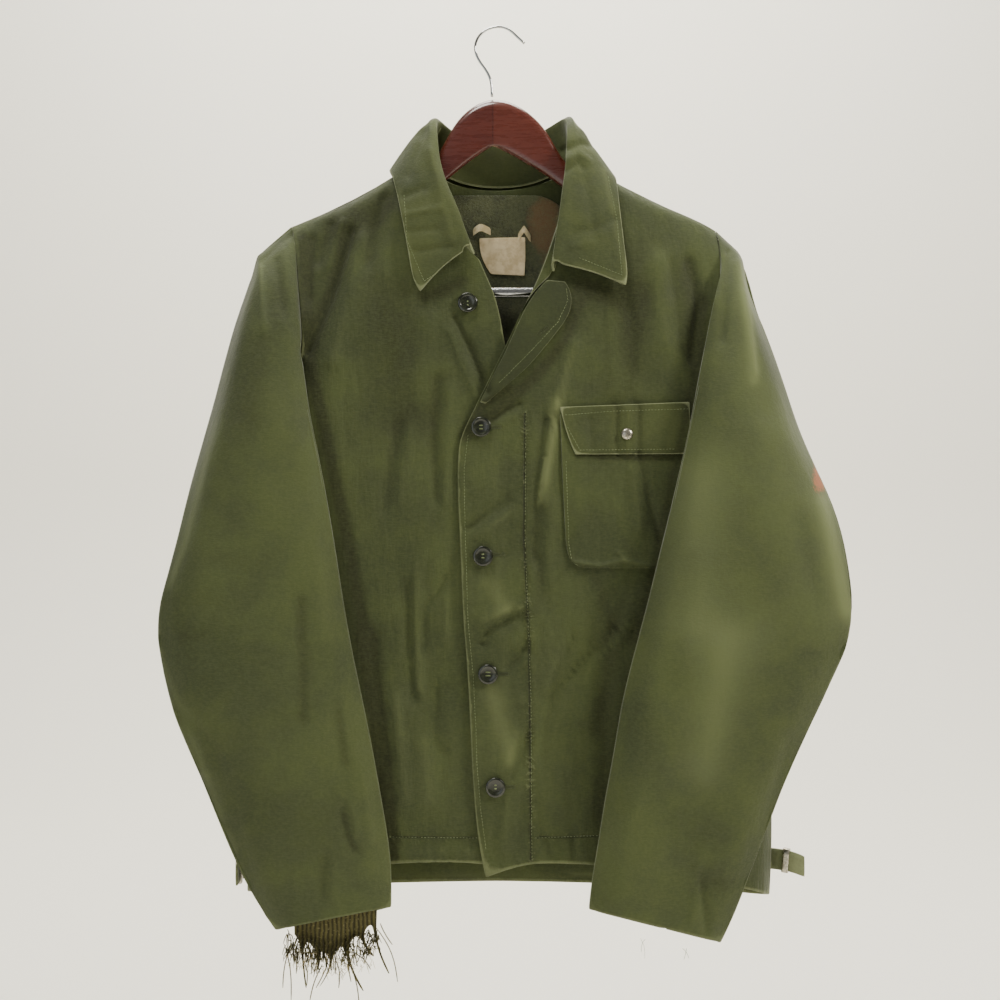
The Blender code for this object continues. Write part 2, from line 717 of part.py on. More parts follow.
def curved(a, b, c, t):
    return (1 - t) ** 2 * a + 2 * t * (1 - t) * b + t * t * c


def sleeve_top(name, sleeve, side, outward, folds):
    grid, rims = [], {}
    for r, row in enumerate(sleeve):
        seam_x, seam_depth = seam_of(row, r, side, "front")
        fold_x, fold_depth = row["fold_x"], row["fold_depth"]
        bend_x = mix(seam_x, fold_x, row["corner"])
        bend_depth = mix(fold_depth, seam_depth, row["corner"])
        points = []
        for step in range(RETURN_STEPS):
            t = step / RETURN_STEPS
            points.append((curved(seam_x, bend_x, fold_x, t), curved(seam_depth, bend_depth, fold_depth, t)))
        for step in range(FACE_STEPS + 1):
            t = step / FACE_STEPS
            t = mix(t, ease(t), 0.35)
            x = mix(fold_x, row["outer_x"], t)
            end = fold_depth if t < 0.5 else row["outer_depth"]
            crown = (1 - abs(2 * t - 1) ** FACE_ROUND) ** (1 / FACE_ROUND)
            depth = mix(end, row["face_depth"], crown)
            height = sleeve_height(row, fold_x, x)
            points.append((x, depth + folded(x, height, folds) * crown * ease((r - 2) / 5)))
        line = []
        start_x = fold_x if r > UNDERARM else seam_x
        for c, (x, depth) in enumerate(points):
            height = sleeve_height(row, start_x, x)
            shift = seam_gap(r) * outward * (1 if r <= UNDERARM else -1) if c == 0 else 0.0
            line.append(placed(x + shift, depth + SEAM, height))
        grid.append(line)
        rims[(r, 0)] = (
            rim_way(FRONT_RIMS[r], outward, -1)
            if r <= UNDERARM
            else Vector((outward * (1 - row["corner"]), -0.7 - row["corner"], 0))
        )
        rims[(r, len(line) - 1)] = Vector((-outward, 0, 0))
    for c in range(len(grid[0])):
        rims[(0, c)] = Vector((0, 0.05, -1))
    rims[(0, len(grid[0]) - 1)] = Vector((-outward * 0.7, 0, -0.7))
    rims[(1, len(grid[0]) - 1)] = Vector((-outward * 0.9, 0, -0.4))
    return wall(name, grid, CLOTH, (0, -1, 0), SATEEN, rims)


def sleeve_under(name, sleeve, side, outward):
    grid, rims = [], {}
    for r, row in enumerate(sleeve):
        seam_x, seam_depth = seam_of(row, r, side, "back")
        line = []
        for step in range(BACK_STEPS + 1):
            t = math.sin(step / BACK_STEPS * math.pi / 2)
            x = mix(seam_x, row["outer_x"], t)
            depth = mix(row["outer_depth"], seam_depth, (1 - t**BACK_ROUND) ** (1 / BACK_ROUND))
            height = sleeve_height(row, row["fold_x"] if r > UNDERARM else seam_x, x)
            shift = seam_gap(r) * outward if step == 0 else 0.0
            line.append(placed(x + shift, depth - SEAM, height))
        grid.append(line)
        rims[(r, 0)] = (
            rim_way(BACK_RIMS[r], outward, 1)
            if r <= UNDERARM
            else Vector((outward * (1 - row["corner"]), -0.7 - row["corner"], 0))
        )
        rims[(r, len(line) - 1)] = Vector((-outward, 0, 0))
    for c in range(len(grid[0])):
        rims[(0, c)] = Vector((0, -0.05, -1))
    rims[(0, len(grid[0]) - 1)] = Vector((-outward * 0.7, 0, -0.7))
    rims[(1, len(grid[0]) - 1)] = Vector((-outward * 0.9, 0, -0.4))
    return wall(name, grid, CLOTH, (0, 1, 0), SATEEN, rims)


# Collar: at each station the neck seam, the roll and the free edge, as x, depth and height
COLLAR_COLUMNS = (
    "seam_x", "seam_depth", "seam_height", "roll_x", "roll_depth", "roll_height",
    "edge_x", "edge_depth", "edge_height",
)
COLLAR = table(
    COLLAR_COLUMNS,
    (-17.0, 37.0, -226.0, -21.0, 42.0, -215.0, -70.0, 41.0, -262.0),
    (-26.0, 36.0, -217.0, -25.0, 42.0, -201.0, -77.0, 40.0, -251.0),
    (-37.0, 32.0, -206.0, -31.0, 40.0, -181.0, -81.0, 38.0, -226.0),
    (-48.0, 27.0, -189.0, -41.0, 35.0, -160.0, -86.0, 34.0, -198.0),
    (-59.0, 20.0, -166.0, -49.0, 26.0, -137.0, -92.0, 25.0, -169.0),
    (-65.0, 11.0, -146.0, -51.0, 14.0, -112.0, -97.0, 12.0, -149.0),
    (-66.0, -1.0, -132.0, -52.0, 0.0, -97.0, -100.0, -3.0, -146.0),
    (-63.0, -11.0, -137.0, -48.0, -14.0, -96.0, -93.0, -24.0, -160.0),
    (-47.0, -17.5, -152.0, -38.0, -22.0, -107.0, -70.0, -31.0, -178.0),
    (-22.0, -19.5, -161.0, -20.0, -25.0, -115.0, -36.0, -34.0, -187.0),
    (5.0, -20.0, -163.0, 6.0, -26.0, -117.0, 6.0, -35.0, -189.0),
    (31.0, -19.5, -161.0, 32.0, -25.0, -113.0, 48.0, -34.0, -187.0),
    (57.0, -17.5, -152.0, 52.0, -22.0, -104.0, 82.0, -31.0, -178.0),
    (71.0, -11.0, -138.0, 66.0, -14.0, -93.0, 106.0, -24.0, -161.0),
    (75.5, -1.0, -132.0, 70.0, 0.0, -96.0, 116.0, -3.0, -150.0),
    (73.5, 11.0, -146.0, 69.0, 14.0, -114.0, 119.0, 12.0, -152.0),
    (70.5, 20.0, -167.0, 69.0, 26.0, -138.0, 121.0, 25.0, -172.0),
    (67.0, 27.0, -189.0, 65.0, 34.0, -163.0, 124.0, 33.0, -197.0),
    (66.0, 33.0, -211.0, 61.0, 39.0, -190.0, 127.0, 38.0, -222.0),
    (61.0, 36.0, -229.0, 58.0, 42.0, -213.0, 130.0, 40.0, -244.0),
    (57.0, 37.0, -243.0, 55.0, 43.0, -232.0, 128.0, 41.0, -256.0),
)
ROLL_ROUND = 5.5
LEAF_CROWN = 3.0


def collar_section(row):
    """Points from the neck seam over the roll to the free edge."""
    seam = Vector((row["seam_x"], row["seam_depth"], row["seam_height"]))
    roll = Vector((row["roll_x"], row["roll_depth"], row["roll_height"]))
    edge = Vector((row["edge_x"], row["edge_depth"], row["edge_height"]))
    stand = (roll - seam).normalized()
    leaf = (edge - roll).normalized()
    spread = (leaf - leaf.project(stand)).normalized()
    rise = (spread.cross(stand).cross(spread)).normalized()
    if rise.dot(stand) < 0:
        rise = -rise
    stand_end = roll - rise * ROLL_ROUND
    leaf_start = roll + spread * ROLL_ROUND * 1.9 - rise * ROLL_ROUND
    crest = (stand_end + leaf_start) / 2 + rise * ROLL_ROUND * 0.9
    shoulder_in = (stand_end + crest) / 2 + (rise * 0.3 - spread * 0.3) * ROLL_ROUND * 0.7
    shoulder_out = (leaf_start + crest) / 2 + (rise * 0.3 + spread * 0.3) * ROLL_ROUND * 0.7
    lift = (rise + spread * 0.3).normalized() * LEAF_CROWN
    return [
        seam,
        (seam + stand_end) / 2,
        stand_end,
        shoulder_in,
        crest,
        shoulder_out,
        leaf_start,
        mix(leaf_start, edge, 0.35) + lift,
        mix(leaf_start, edge, 0.7) + lift * 0.8,
        edge,
    ]


def build_collar():
    grid = [[placed(point.x, point.y, point.z) for point in collar_section(row)] for row in COLLAR]
    return wall("collar", grid, CLOTH - 0.4, (0, 0, 1), SATEEN)


# Lapel: the roll line and the free edge at each row
LAPEL = table(
    ("roll_x", "roll_height", "edge_x", "edge_height"),
    (-14.2, -368.2, -7.0, -370.0),
    (-3.7, -346.0, 11.7, -353.0),
    (5.0, -330.0, 32.8, -336.0),
    (13.6, -312.5, 47.0, -319.0),
    (21.3, -294.3, 62.6, -300.0),
    (29.0, -278.0, 76.0, -281.0),
    (38.6, -262.6, 76.0, -263.0),
    (50.0, -251.0, 69.3, -252.5),
)
LAPEL_STEPS = 5
LAPEL_LIFT = 4.5


def build_lapel(surface):
    grid = []
    for row in LAPEL:
        line = []
        for step in range(LAPEL_STEPS + 1):
            t = step / LAPEL_STEPS
            x = mix(row["roll_x"] + 2.0, row["edge_x"], t)
            height = mix(row["roll_height"], row["edge_height"], t)
            lift = LAID_GAP + CLOTH + LAPEL_LIFT * (1 - t) * math.sqrt(t + 0.05)
            line.append(seen_on(surface, x, height, lift))
        grid.append(line)
    return wall("lapel", grid, CLOTH - 0.4, (0, -1, 0), SATEEN)


# Pocket and flap: both edges at each row
PATCH_COLUMNS = ("left_x", "right_x", "left_height", "right_height")
POCKET = table(
    PATCH_COLUMNS,
    (64.5, 190.0, -380.0, -380.0),
    (65.5, 191.0, -400.0, -400.0),
    (66.5, 191.5, -425.0, -425.0),
    (67.5, 192.0, -450.0, -450.0),
    (68.8, 192.5, -476.0, -476.0),
    (70.0, 193.0, -502.0, -502.0),
    (72.0, 191.0, -515.0, -515.0),
    (76.5, 187.0, -523.0, -523.0),
    (84.7, 179.0, -527.6, -527.6),
)
FLAP = table(
    PATCH_COLUMNS,
    (64.5, 189.0, -373.0, -368.0),
    (67.0, 189.5, -383.0, -380.0),
    (70.3, 190.0, -395.0, -393.0),
    (74.5, 190.0, -407.0, -406.0),
    (79.5, 188.5, -418.5, -418.0),
)
POCKET_STEPS = 8


def laid_patch(name, rows, surface, lift, thick, material, steps):
    """A wall on a surface, its outer side lift above it."""
    grid = []
    for row in rows:
        line = []
        for step in range(steps + 1):
            t = step / steps
            x = mix(row["left_x"], row["right_x"], t)
            height = mix(row["left_height"], row["right_height"], t)
            line.append(seen_on(surface, x, height, lift))
        grid.append(line)
    return wall(name, grid, thick, (0, -1, 0), material)


# Buttons and snap: where each shows
BUTTONS = table(
    ("x", "height", "under"),
    (-24.2, -273.2, True),
    (-11.3, -392.2, False),
    (-9.4, -516.1, False),
    (-4.6, -629.3, False),
    (2.6, -737.8, False),
)
BUTTON_PROFILE = (
    (0.0, 0.3), (3.0, 0.3), (3.0, 1.4), (8.6, 1.4), (9.8, 2.4), (9.5, 4.0), (7.4, 4.4), (6.2, 3.5),
    (0.0, 3.3),
)
SNAP_PROFILE = ((0.0, 0.3), (5.0, 0.3), (5.8, 1.0), (5.6, 1.7), (4.4, 2.7), (2.4, 3.3), (0.0, 3.5))
SNAP_X = 128.8
SNAP_HEIGHT = -399.0


# Side adjusters: a strap from the back panel round the side, through a metal slide
STRAP_COLUMNS = ("x", "depth", "height")
LEFT_STRAP = table(
    STRAP_COLUMNS,
    (214.0, -27.0, -803.0),
    (238.0, -26.0, -804.0),
    (256.0, -22.0, -805.0),
    (268.0, -13.0, -806.0),
    (276.0, -4.0, -807.0),
    (287.0, 0.5, -809.0),
    (299.0, 0.0, -814.0),
)
RIGHT_STRAP = table(
    STRAP_COLUMNS,
    (-184.0, -27.0, -806.0),
    (-208.0, -26.0, -808.0),
    (-226.0, -22.0, -811.0),
    (-238.0, -13.0, -814.0),
    (-243.0, -2.0, -817.0),
    (-246.0, 10.0, -820.0),
    (-247.0, 20.0, -823.0),
)
STRAPS = (
    ("side_strap_left", "slide_left", LEFT_STRAP, 4),
    ("side_strap_right", "slide_right", RIGHT_STRAP, 4),
)

def band(name, path, width, thick, facing):
    grid = []
    for row in path:
        line = []
        for t in (0.5, 0.0, -0.5):
            line.append(placed(row["x"], row["depth"], row["height"] + t * width))
        grid.append(line)
    return wall(name, grid, thick, facing, SATEEN)


def build_slide(name, row, next_row):
    """A flat metal loop that goes round the strap between two of its rows."""
    start = placed(row["x"], row["depth"], row["height"])
    end = placed(next_row["x"], next_row["depth"], next_row["height"])
    along = (end - start).normalized()
    across = (Vector((0, 0, 1)) - along * along.z).normalized()
    out = along.cross(across)
    if out.y < 0:
        out = -out
    centre = (start + end) / 2 - out * STRAP_THICK / 2 * MM
    bm = bmesh.new()
    loops = []
    for grown in (0.0, SLIDE_WIRE):
        half_out = STRAP_THICK / 2 + SLIDE_ROOM + grown
        half_across = STRAP_WIDTH / 2 + SLIDE_ROOM + grown
        for way in (-0.5, 0.5):
            corners = [(-1, -1), (1, -1), (1, 1), (-1, 1)]
            loops.append([
                bm.verts.new(
                    centre + (out * half_out * a + across * half_across * b + along * SLIDE_LONG * way) * MM
                )
                for a, b in corners
            ])
    near_in, far_in, near_out, far_out = loops
    for i in range(4):
        k = (i + 1) % 4
        bm.faces.new((near_in[i], near_in[k], far_in[k], far_in[i]))
        bm.faces.new((near_out[i], near_out[k], far_out[k], far_out[i]))
        bm.faces.new((near_in[i], near_in[k], near_out[k], near_out[i]))
        bm.faces.new((far_in[i], far_in[k], far_out[k], far_out[i]))
    bmesh.ops.recalc_face_normals(bm, faces=bm.faces)
    return mesh_from(name, bm, NICKEL)


# Label, torn tape and lining inside the back of the neck
LINING = table(
    PATCH_COLUMNS,
    (-40.0, 48.0, -170.0, -170.0),
    (-62.0, 70.0, -182.0, -182.0),
    (-74.0, 84.0, -205.0, -205.0),
    (-80.0, 92.0, -235.0, -235.0),
    (-82.0, 95.0, -265.0, -265.0),
    (-82.0, 95.0, -295.0, -295.0),
    (-80.0, 92.0, -325.0, -325.0),
    (-76.0, 88.0, -352.0, -352.0),
)
LINING_THICK = 1.6
LINING_GAP = 0.9
LABEL_THICK = 0.9
LABEL = table(
    PATCH_COLUMNS,
    (-13.0, 31.0, -211.0, -210.0),
    (-12.5, 31.5, -225.0, -224.0),
    (-7.0, 31.0, -238.0, -237.0),
    (-1.7, 30.5, -245.5, -247.0),
)


TAPE_COLUMNS = ("x", "height", "lift")
TAPES = (
    ("tape_right", table(TAPE_COLUMNS, (-19.0, -205.0, 4.0), (-12.0, -200.0, 7.5), (-2.0, -204.5, 4.5))),
    ("tape_left", table(TAPE_COLUMNS, (24.0, -210.0, 4.5), (30.0, -202.0, 8.0), (36.5, -211.0, 4.0))),
)


def build_tape(name, path, surface):
    grid = []
    for t in (0.0, 0.25, 0.5, 0.75, 1.0):
        k = t * 2
        i = min(int(k), 1)
        a, b = path[i], path[i + 1]
        x, height, lift = (mix(a[key], b[key], k - i) for key in ("x", "height", "lift"))
        lift += 1.5 * math.sin(math.pi * (k - i))
        grid.append([seen_on(surface, x, height + side, lift) for side in (3.5, 0.0, -3.5)])
    return wall(name, grid, 0.9, (0, -1, 0), LABEL_COTTON)


# Torn inner cuff: a strip inside the sleeve's end with threads drawn out of its lower edge
WRISTLET = table(
    ("x", "top", "bottom", "thread", "drift"),
    (-191.0, -857.0, -880.0, 0.0, 0.0),
    (-187.0, -856.0, -884.0, 46.0, 4.0),
    (-180.0, -855.0, -886.0, 0.0, 0.0),
    (-173.0, -853.0, -890.0, 17.0, 2.0),
    (-165.0, -851.0, -896.0, 0.0, 0.0),
    (-158.0, -850.0, -899.0, 33.0, -12.0),
    (-151.0, -848.0, -895.0, 0.0, 0.0),
    (-144.0, -846.0, -890.0, 46.0, 16.0),
    (-137.0, -844.0, -886.0, 0.0, 0.0),
    (-130.0, -842.0, -880.0, 22.0, 12.0),
    (-122.0, -840.0, -874.0, 0.0, 0.0),
    (-116.0, -839.0, -869.0, 52.0, 14.0),
    (-111.0, -838.0, -861.0, 0.0, 0.0),
)
WRISTLET_THICK = 1.4
WRISTLET_ROWS = 4
THREAD_STEPS = 4


def build_wristlet(surface):
    """Rows down the strip; then chosen cells of its lower rim are drawn down as tapering threads."""
    grid = []
    for r in range(WRISTLET_ROWS + 1):
        line = []
        for c, row in enumerate(WRISTLET):
            t = r / WRISTLET_ROWS
            height = mix(row["top"], row["bottom"], t)
            inside = placed(row["x"], 64.0, row["top"])
            hit = surface.ray_cast(inside, Vector((0, -1, 0)))[0]
            depth = -hit.y / MM - POCKET_GAP - t * 5.0 + 1.6 * t * math.sin(c * 2.1)
            line.append(placed(row["x"], depth, height))
        grid.append(line)
    made = wall("torn_wristlet", grid, WRISTLET_THICK, (0, -1, 0), TORN_KNIT)
    bm = bmesh.new()
    bm.from_mesh(made.data)
    bm.verts.ensure_lookup_table()
    for c, row in enumerate(WRISTLET[:-1]):
        if not row["thread"]:
            continue
        a, b = grid[-1][c], grid[-1][c + 1]
        middle = (a + b) / 2
        cap = min(
            (f for f in bm.faces if len(f.verts) == 4 and f.normal.z < -0.2),
            key=lambda f: (f.calc_center_median() - middle).length,
        )
        for step in range(1, THREAD_STEPS + 1):
            t = step / THREAD_STEPS
            grown = bmesh.ops.extrude_discrete_faces(bm, faces=[cap])["faces"][0]
            centre = grown.calc_center_median()
            sway = row["drift"] * (t * t - ((step - 1) / THREAD_STEPS) ** 2)
            drop = Vector((sway, 1.5 * math.sin(3 * t + c), -row["thread"] / THREAD_STEPS)) * MM
            shrink = 0.35 if step == 1 else 0.85
            for vert in grown.verts:
                vert.co = centre + (vert.co - centre) * shrink + drop
            cap = grown
    bmesh.ops.recalc_face_normals(bm, faces=bm.faces)
    bm.to_mesh(made.data)
    bm.free()


# Hanger: the wood's upper and lower edge, by x, in its own plane
HANGER = table(
    ("x", "top", "bottom"),
    (-211.0, -224.5, -231.0),
    (-204.0, -215.5, -233.0),
    (-193.0, -205.6, -229.0),
    (-168.5, -195.0, -219.0),
    (-149.0, -187.0, -211.0),
    (-124.0, -174.5, -202.0),
    (-97.0, -158.5, -187.0),
    (-70.0, -149.0, -175.0),
    (-49.7, -128.0, -161.0),
    (-38.0, -101.0, -150.0),
    (-20.0, -83.5, -136.0),
    (0.2, -76.0, -122.0),
    (21.3, -81.2, -133.0),
    (36.7, -91.7, -142.0),
    (52.0, -107.0, -151.0),
    (64.5, -133.0, -161.0),
    (82.0, -151.0, -175.0),
    (111.0, -159.0, -184.0),
    (140.0, -175.0, -199.0),
    (166.0, -186.8, -211.0),
    (187.0, -195.3, -219.0),
    (214.0, -209.6, -231.0),
    (224.0, -219.0, -236.0),
    (229.0, -226.0, -233.0),
)
# The wood's rounded section: depth as a share of its half thickness, and the way in from an edge
WOOD_SECTION = ((0.0, 0.0), (0.45, 1.1), (0.82, 3.6), (1.0, 7.5))


def build_hanger():
    bm = bmesh.new()
    rings = []
    for row in HANGER:
        tall = row["top"] - row["bottom"]
        fit = min(1.0, tall / 17.0)
        side = [(share * WOOD_HALF, row["top"] - way * fit) for share, way in WOOD_SECTION]
        side += [(share * WOOD_HALF, row["bottom"] + way * fit) for share, way in WOOD_SECTION[::-1]]
        loop = side + [(-depth, height) for depth, height in side[::-1][1:-1]]
        rings.append([bm.verts.new(placed(row["x"], depth, height)) for depth, height in loop])
    for first, second in zip(rings, rings[1:]):
        for i in range(len(first)):
            k = (i + 1) % len(first)
            bm.faces.new((first[i], first[k], second[k], second[i]))
    bm.faces.new(rings[0])
    bm.faces.new(rings[-1][::-1])
    bmesh.ops.recalc_face_normals(bm, faces=bm.faces)
    return mesh_from("hanger_wood", bm, WOOD)


# The hook's wire, x and z in its plane, from the wood to the ball end
HOOK = (
    (-1.0, -67.0), (-1.2, -60.0), (-1.6, -53.0), (-3.6, -46.0), (-8.0, -39.0), (-12.5, -33.5), (-16.0, -27.0),
    (-17.8, -20.5), (-17.2, -13.5), (-13.8, -7.0), (-8.0, -1.6), (0.0, 1.4), (8.0, 2.2), (15.0, -0.3),
    (20.4, -4.8), (25.6, -10.0), (31.0, -14.8),
)
BAR_HALF = 176.0
BAR_HEIGHT = -259.0
BAR_TOP = -229.0
BAR_BEND = 18.0


def build_bar():
    """The trouser bar: a rod bent up at both ends to the underside of the arms."""
    points = [(-BAR_HALF, 0.0, BAR_TOP)]
    for step in range(5):
        turn = step / 4 * math.pi / 2
        points.append((
            -BAR_HALF + BAR_BEND * (1 - math.cos(turn)), 0.0, BAR_HEIGHT + BAR_BEND * (1 - math.sin(turn)),
        ))
    points += [(-x, y, z) for x, y, z in points[::-1]]
    return rod("hanger_bar", points, BAR_RADIUS, STEEL)


# The jacket
back = back_panel()
front_right = front_panel(
    "front_right", UNDER_EDGE, RIGHT_SIDE, RIGHT_NECK, RIGHT_SHOULDER, FRONT_HEM, -1, False
)
front_left = front_panel(
    "front_left", OVER_EDGE, LEFT_SIDE, LEFT_NECK, LEFT_SHOULDER, OVER_HEM, 1, True
)
sleeve_right_top = sleeve_top("sleeve_right_top", RIGHT_SLEEVE, RIGHT_SIDE, -1, RIGHT_SLEEVE_FOLDS)
sleeve_under("sleeve_right_under", RIGHT_SLEEVE, RIGHT_SIDE, -1)
sleeve_top("sleeve_left_top", LEFT_SLEEVE, LEFT_SIDE, 1, LEFT_SLEEVE_FOLDS)
sleeve_under("sleeve_left_under", LEFT_SLEEVE, LEFT_SIDE, 1)
build_collar()

over_front = surface_of(front_left)
under_front = surface_of(front_right)
back_inside = surface_of(back)

build_lapel(over_front)
laid_patch("pocket", POCKET, over_front, POCKET_GAP + THIN_CLOTH, THIN_CLOTH, SATEEN, POCKET_STEPS)
flap_lift = POCKET_GAP + LAID_GAP + 2 * THIN_CLOTH
flap = laid_patch("pocket_flap", FLAP, over_front, flap_lift, THIN_CLOTH, SATEEN, POCKET_STEPS)
turned("snap", SNAP_PROFILE, 16, facing_on(surface_of(flap), SNAP_X, SNAP_HEIGHT), NICKEL)
for number, button in enumerate(BUTTONS, 1):
    cloth = under_front if button["under"] else over_front
    turned(
        f"button_{number}", BUTTON_PROFILE, 18, facing_on(cloth, button["x"], button["height"]), PLASTIC
    )

for strap_name, slide_name, strap_path, held_row in STRAPS:
    band(strap_name, strap_path, STRAP_WIDTH, STRAP_THICK, (0, 1, 0))
    build_slide(slide_name, strap_path[held_row], strap_path[held_row + 1])

lining_lift = LINING_GAP + LINING_THICK
lining = laid_patch("back_lining", LINING, back_inside, lining_lift, LINING_THICK, PILE, 10)
lining_face = surface_of(lining)
laid_patch("label", LABEL, lining_face, LAID_GAP + LABEL_THICK, LABEL_THICK, LABEL_COTTON, 3)
for tape_name, tape_path in TAPES:
    build_tape(tape_name, tape_path, lining_face)
build_wristlet(surface_of(sleeve_right_top))

# The hanger
build_hanger()
rod("hanger_hook", [(x, 0.0, z) for x, z in HOOK], WIRE_RADIUS, STEEL)
build_bar()
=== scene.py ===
import math
import random
from functools import partial

import bpy
import numpy as np
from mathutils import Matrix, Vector, noise
from mathutils.bvhtree import BVHTree


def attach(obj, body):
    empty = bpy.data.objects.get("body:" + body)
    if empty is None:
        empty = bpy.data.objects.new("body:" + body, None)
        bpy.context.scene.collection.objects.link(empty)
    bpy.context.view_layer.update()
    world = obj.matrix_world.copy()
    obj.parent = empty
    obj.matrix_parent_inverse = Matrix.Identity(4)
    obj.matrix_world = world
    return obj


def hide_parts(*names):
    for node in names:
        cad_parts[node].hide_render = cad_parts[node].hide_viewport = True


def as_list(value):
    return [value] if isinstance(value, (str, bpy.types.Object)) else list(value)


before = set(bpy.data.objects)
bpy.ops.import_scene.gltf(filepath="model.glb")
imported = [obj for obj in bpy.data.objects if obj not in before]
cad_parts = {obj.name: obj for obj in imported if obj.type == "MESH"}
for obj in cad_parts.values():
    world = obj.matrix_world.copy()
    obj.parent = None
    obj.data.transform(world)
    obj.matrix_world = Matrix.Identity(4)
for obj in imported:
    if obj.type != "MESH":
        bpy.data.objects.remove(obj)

random.seed(7)
mm = 0.001
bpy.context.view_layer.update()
print("frame loaded")

# The photograph's view: places on the cloth are given as its pixels, 0.96 mm each on the plane of
# the front hem
eye = Vector((0.0069, -1.43, -0.4623))
seenPlane = -0.03
pixel = 0.96 * mm
middlePixel = 500.0


# Colours

def colour(text):
    # A linear colour with alpha from an sRGB hex text.
    parts = [int(text[i:i + 2], 16) / 255 for i in (1, 3, 5)]
    return tuple(p / 12.92 if p <= 0.04045 else ((p + 0.055) / 1.055) ** 2.4 for p in parts) + (1.0,)


mathKinds = ("add", "subtract", "multiply", "divide", "power", "maximum", "absolute", "sine", "sqrt")
nodeKinds = {name: {"type": "Math", "inputs": (0, 1), "operation": name.upper()} for name in mathKinds}
nodeKinds.update({
    "ramp": {"type": "MapRange", "inputs": (0, 1, 2, 3, 4), "interpolation_type": "SMOOTHSTEP"},
    "mix": {"type": "Mix", "inputs": (0, 6, 7), "output": 2, "data_type": "RGBA"},
    "noise": {"type": "TexNoise", "inputs": ("Vector", "Scale", "Detail", "Roughness"), "output": "Fac"},
    "wave": {"type": "TexWave", "inputs": ("Vector", "Scale", "Distortion", "Detail"), "output": "Fac"},
    "bump": {"type": "Bump", "inputs": ("Height", "Distance", "Strength", "Normal"), "output": "Normal"},
    "mapping": {"type": "Mapping", "inputs": ("Vector", "Scale")},
    "split": {"type": "SeparateXYZ", "inputs": (0,)},
    "attribute": {"type": "Attribute", "inputs": (), "output": "Fac"},
    "coordinates": {"type": "TexCoord", "inputs": (), "output": "Object"},
})


def fillInput(node, key, value):
    # Links an input to another node's output, or gives it a value.
    if isinstance(value, bpy.types.NodeSocket):
        node.id_data.links.new(value, node.inputs[key])
    else:
        node.inputs[key].default_value = value


def addNode(tree, kind, *values, output=None, **settings):
    # Adds a node of a kind above; its inputs come in the row's order, as values or other outputs.
    row = nodeKinds[kind]
    node = tree.nodes.new("ShaderNode" + row["type"])
    fixed = {key: row[key] for key in row if key not in ("type", "inputs", "output")}
    for name, value in {**fixed, **settings}.items():
        setattr(node, name, value)
    for key, value in zip(row["inputs"], values):
        fillInput(node, key, value)
    return node.outputs[output or row.get("output", 0)]


def newMaterial(name):
    made = bpy.data.materials.new(name)
    made.use_nodes = True
    put = partial(addNode, made.node_tree)
    return made, made.node_tree.nodes["Principled BSDF"], put, put("coordinates")


def finishWith(shader, **inputs):
    for name, value in inputs.items():
        fillInput(shader, name.replace("_", " "), value)


def segmentOf(put, seenX, seenY, row):
    # Distance in pixels from a straight seam line, and the way along it.
    x1, y1, x2, y2 = row
    long = math.hypot(x2 - x1, y2 - y1)
    ux, uy = (x2 - x1) / long, (y2 - y1) / long
    fromX = put("subtract", seenX, x1)
    fromY = put("subtract", seenY, y1)
    along = put("add", put("multiply", fromX, ux), put("multiply", fromY, uy))
    across = put("subtract", put("multiply", fromX, uy), put("multiply", fromY, ux))
    past = put("maximum", put("subtract", along, long), put("multiply", along, -1.0))
    past = put("maximum", past, 0.0)
    away = put("add", put("absolute", across), past)
    return away, along


def awayFromSpot(put, seenX, seenY, spot, wobble, ragged):
    # Distance from an oval spot, 1 at its rim, with the rim made ragged by a noise.
    offX = put("divide", put("subtract", seenX, spot["x"]), spot["wide"])
    offY = put("divide", put("subtract", seenY, spot["y"]), spot["tall"])
    squares = put("add", put("power", offX, 2.0), put("power", offY, 2.0))
    shift = put("multiply", put("subtract", wobble, 0.5), ragged)
    return put("add", put("sqrt", squares), shift)


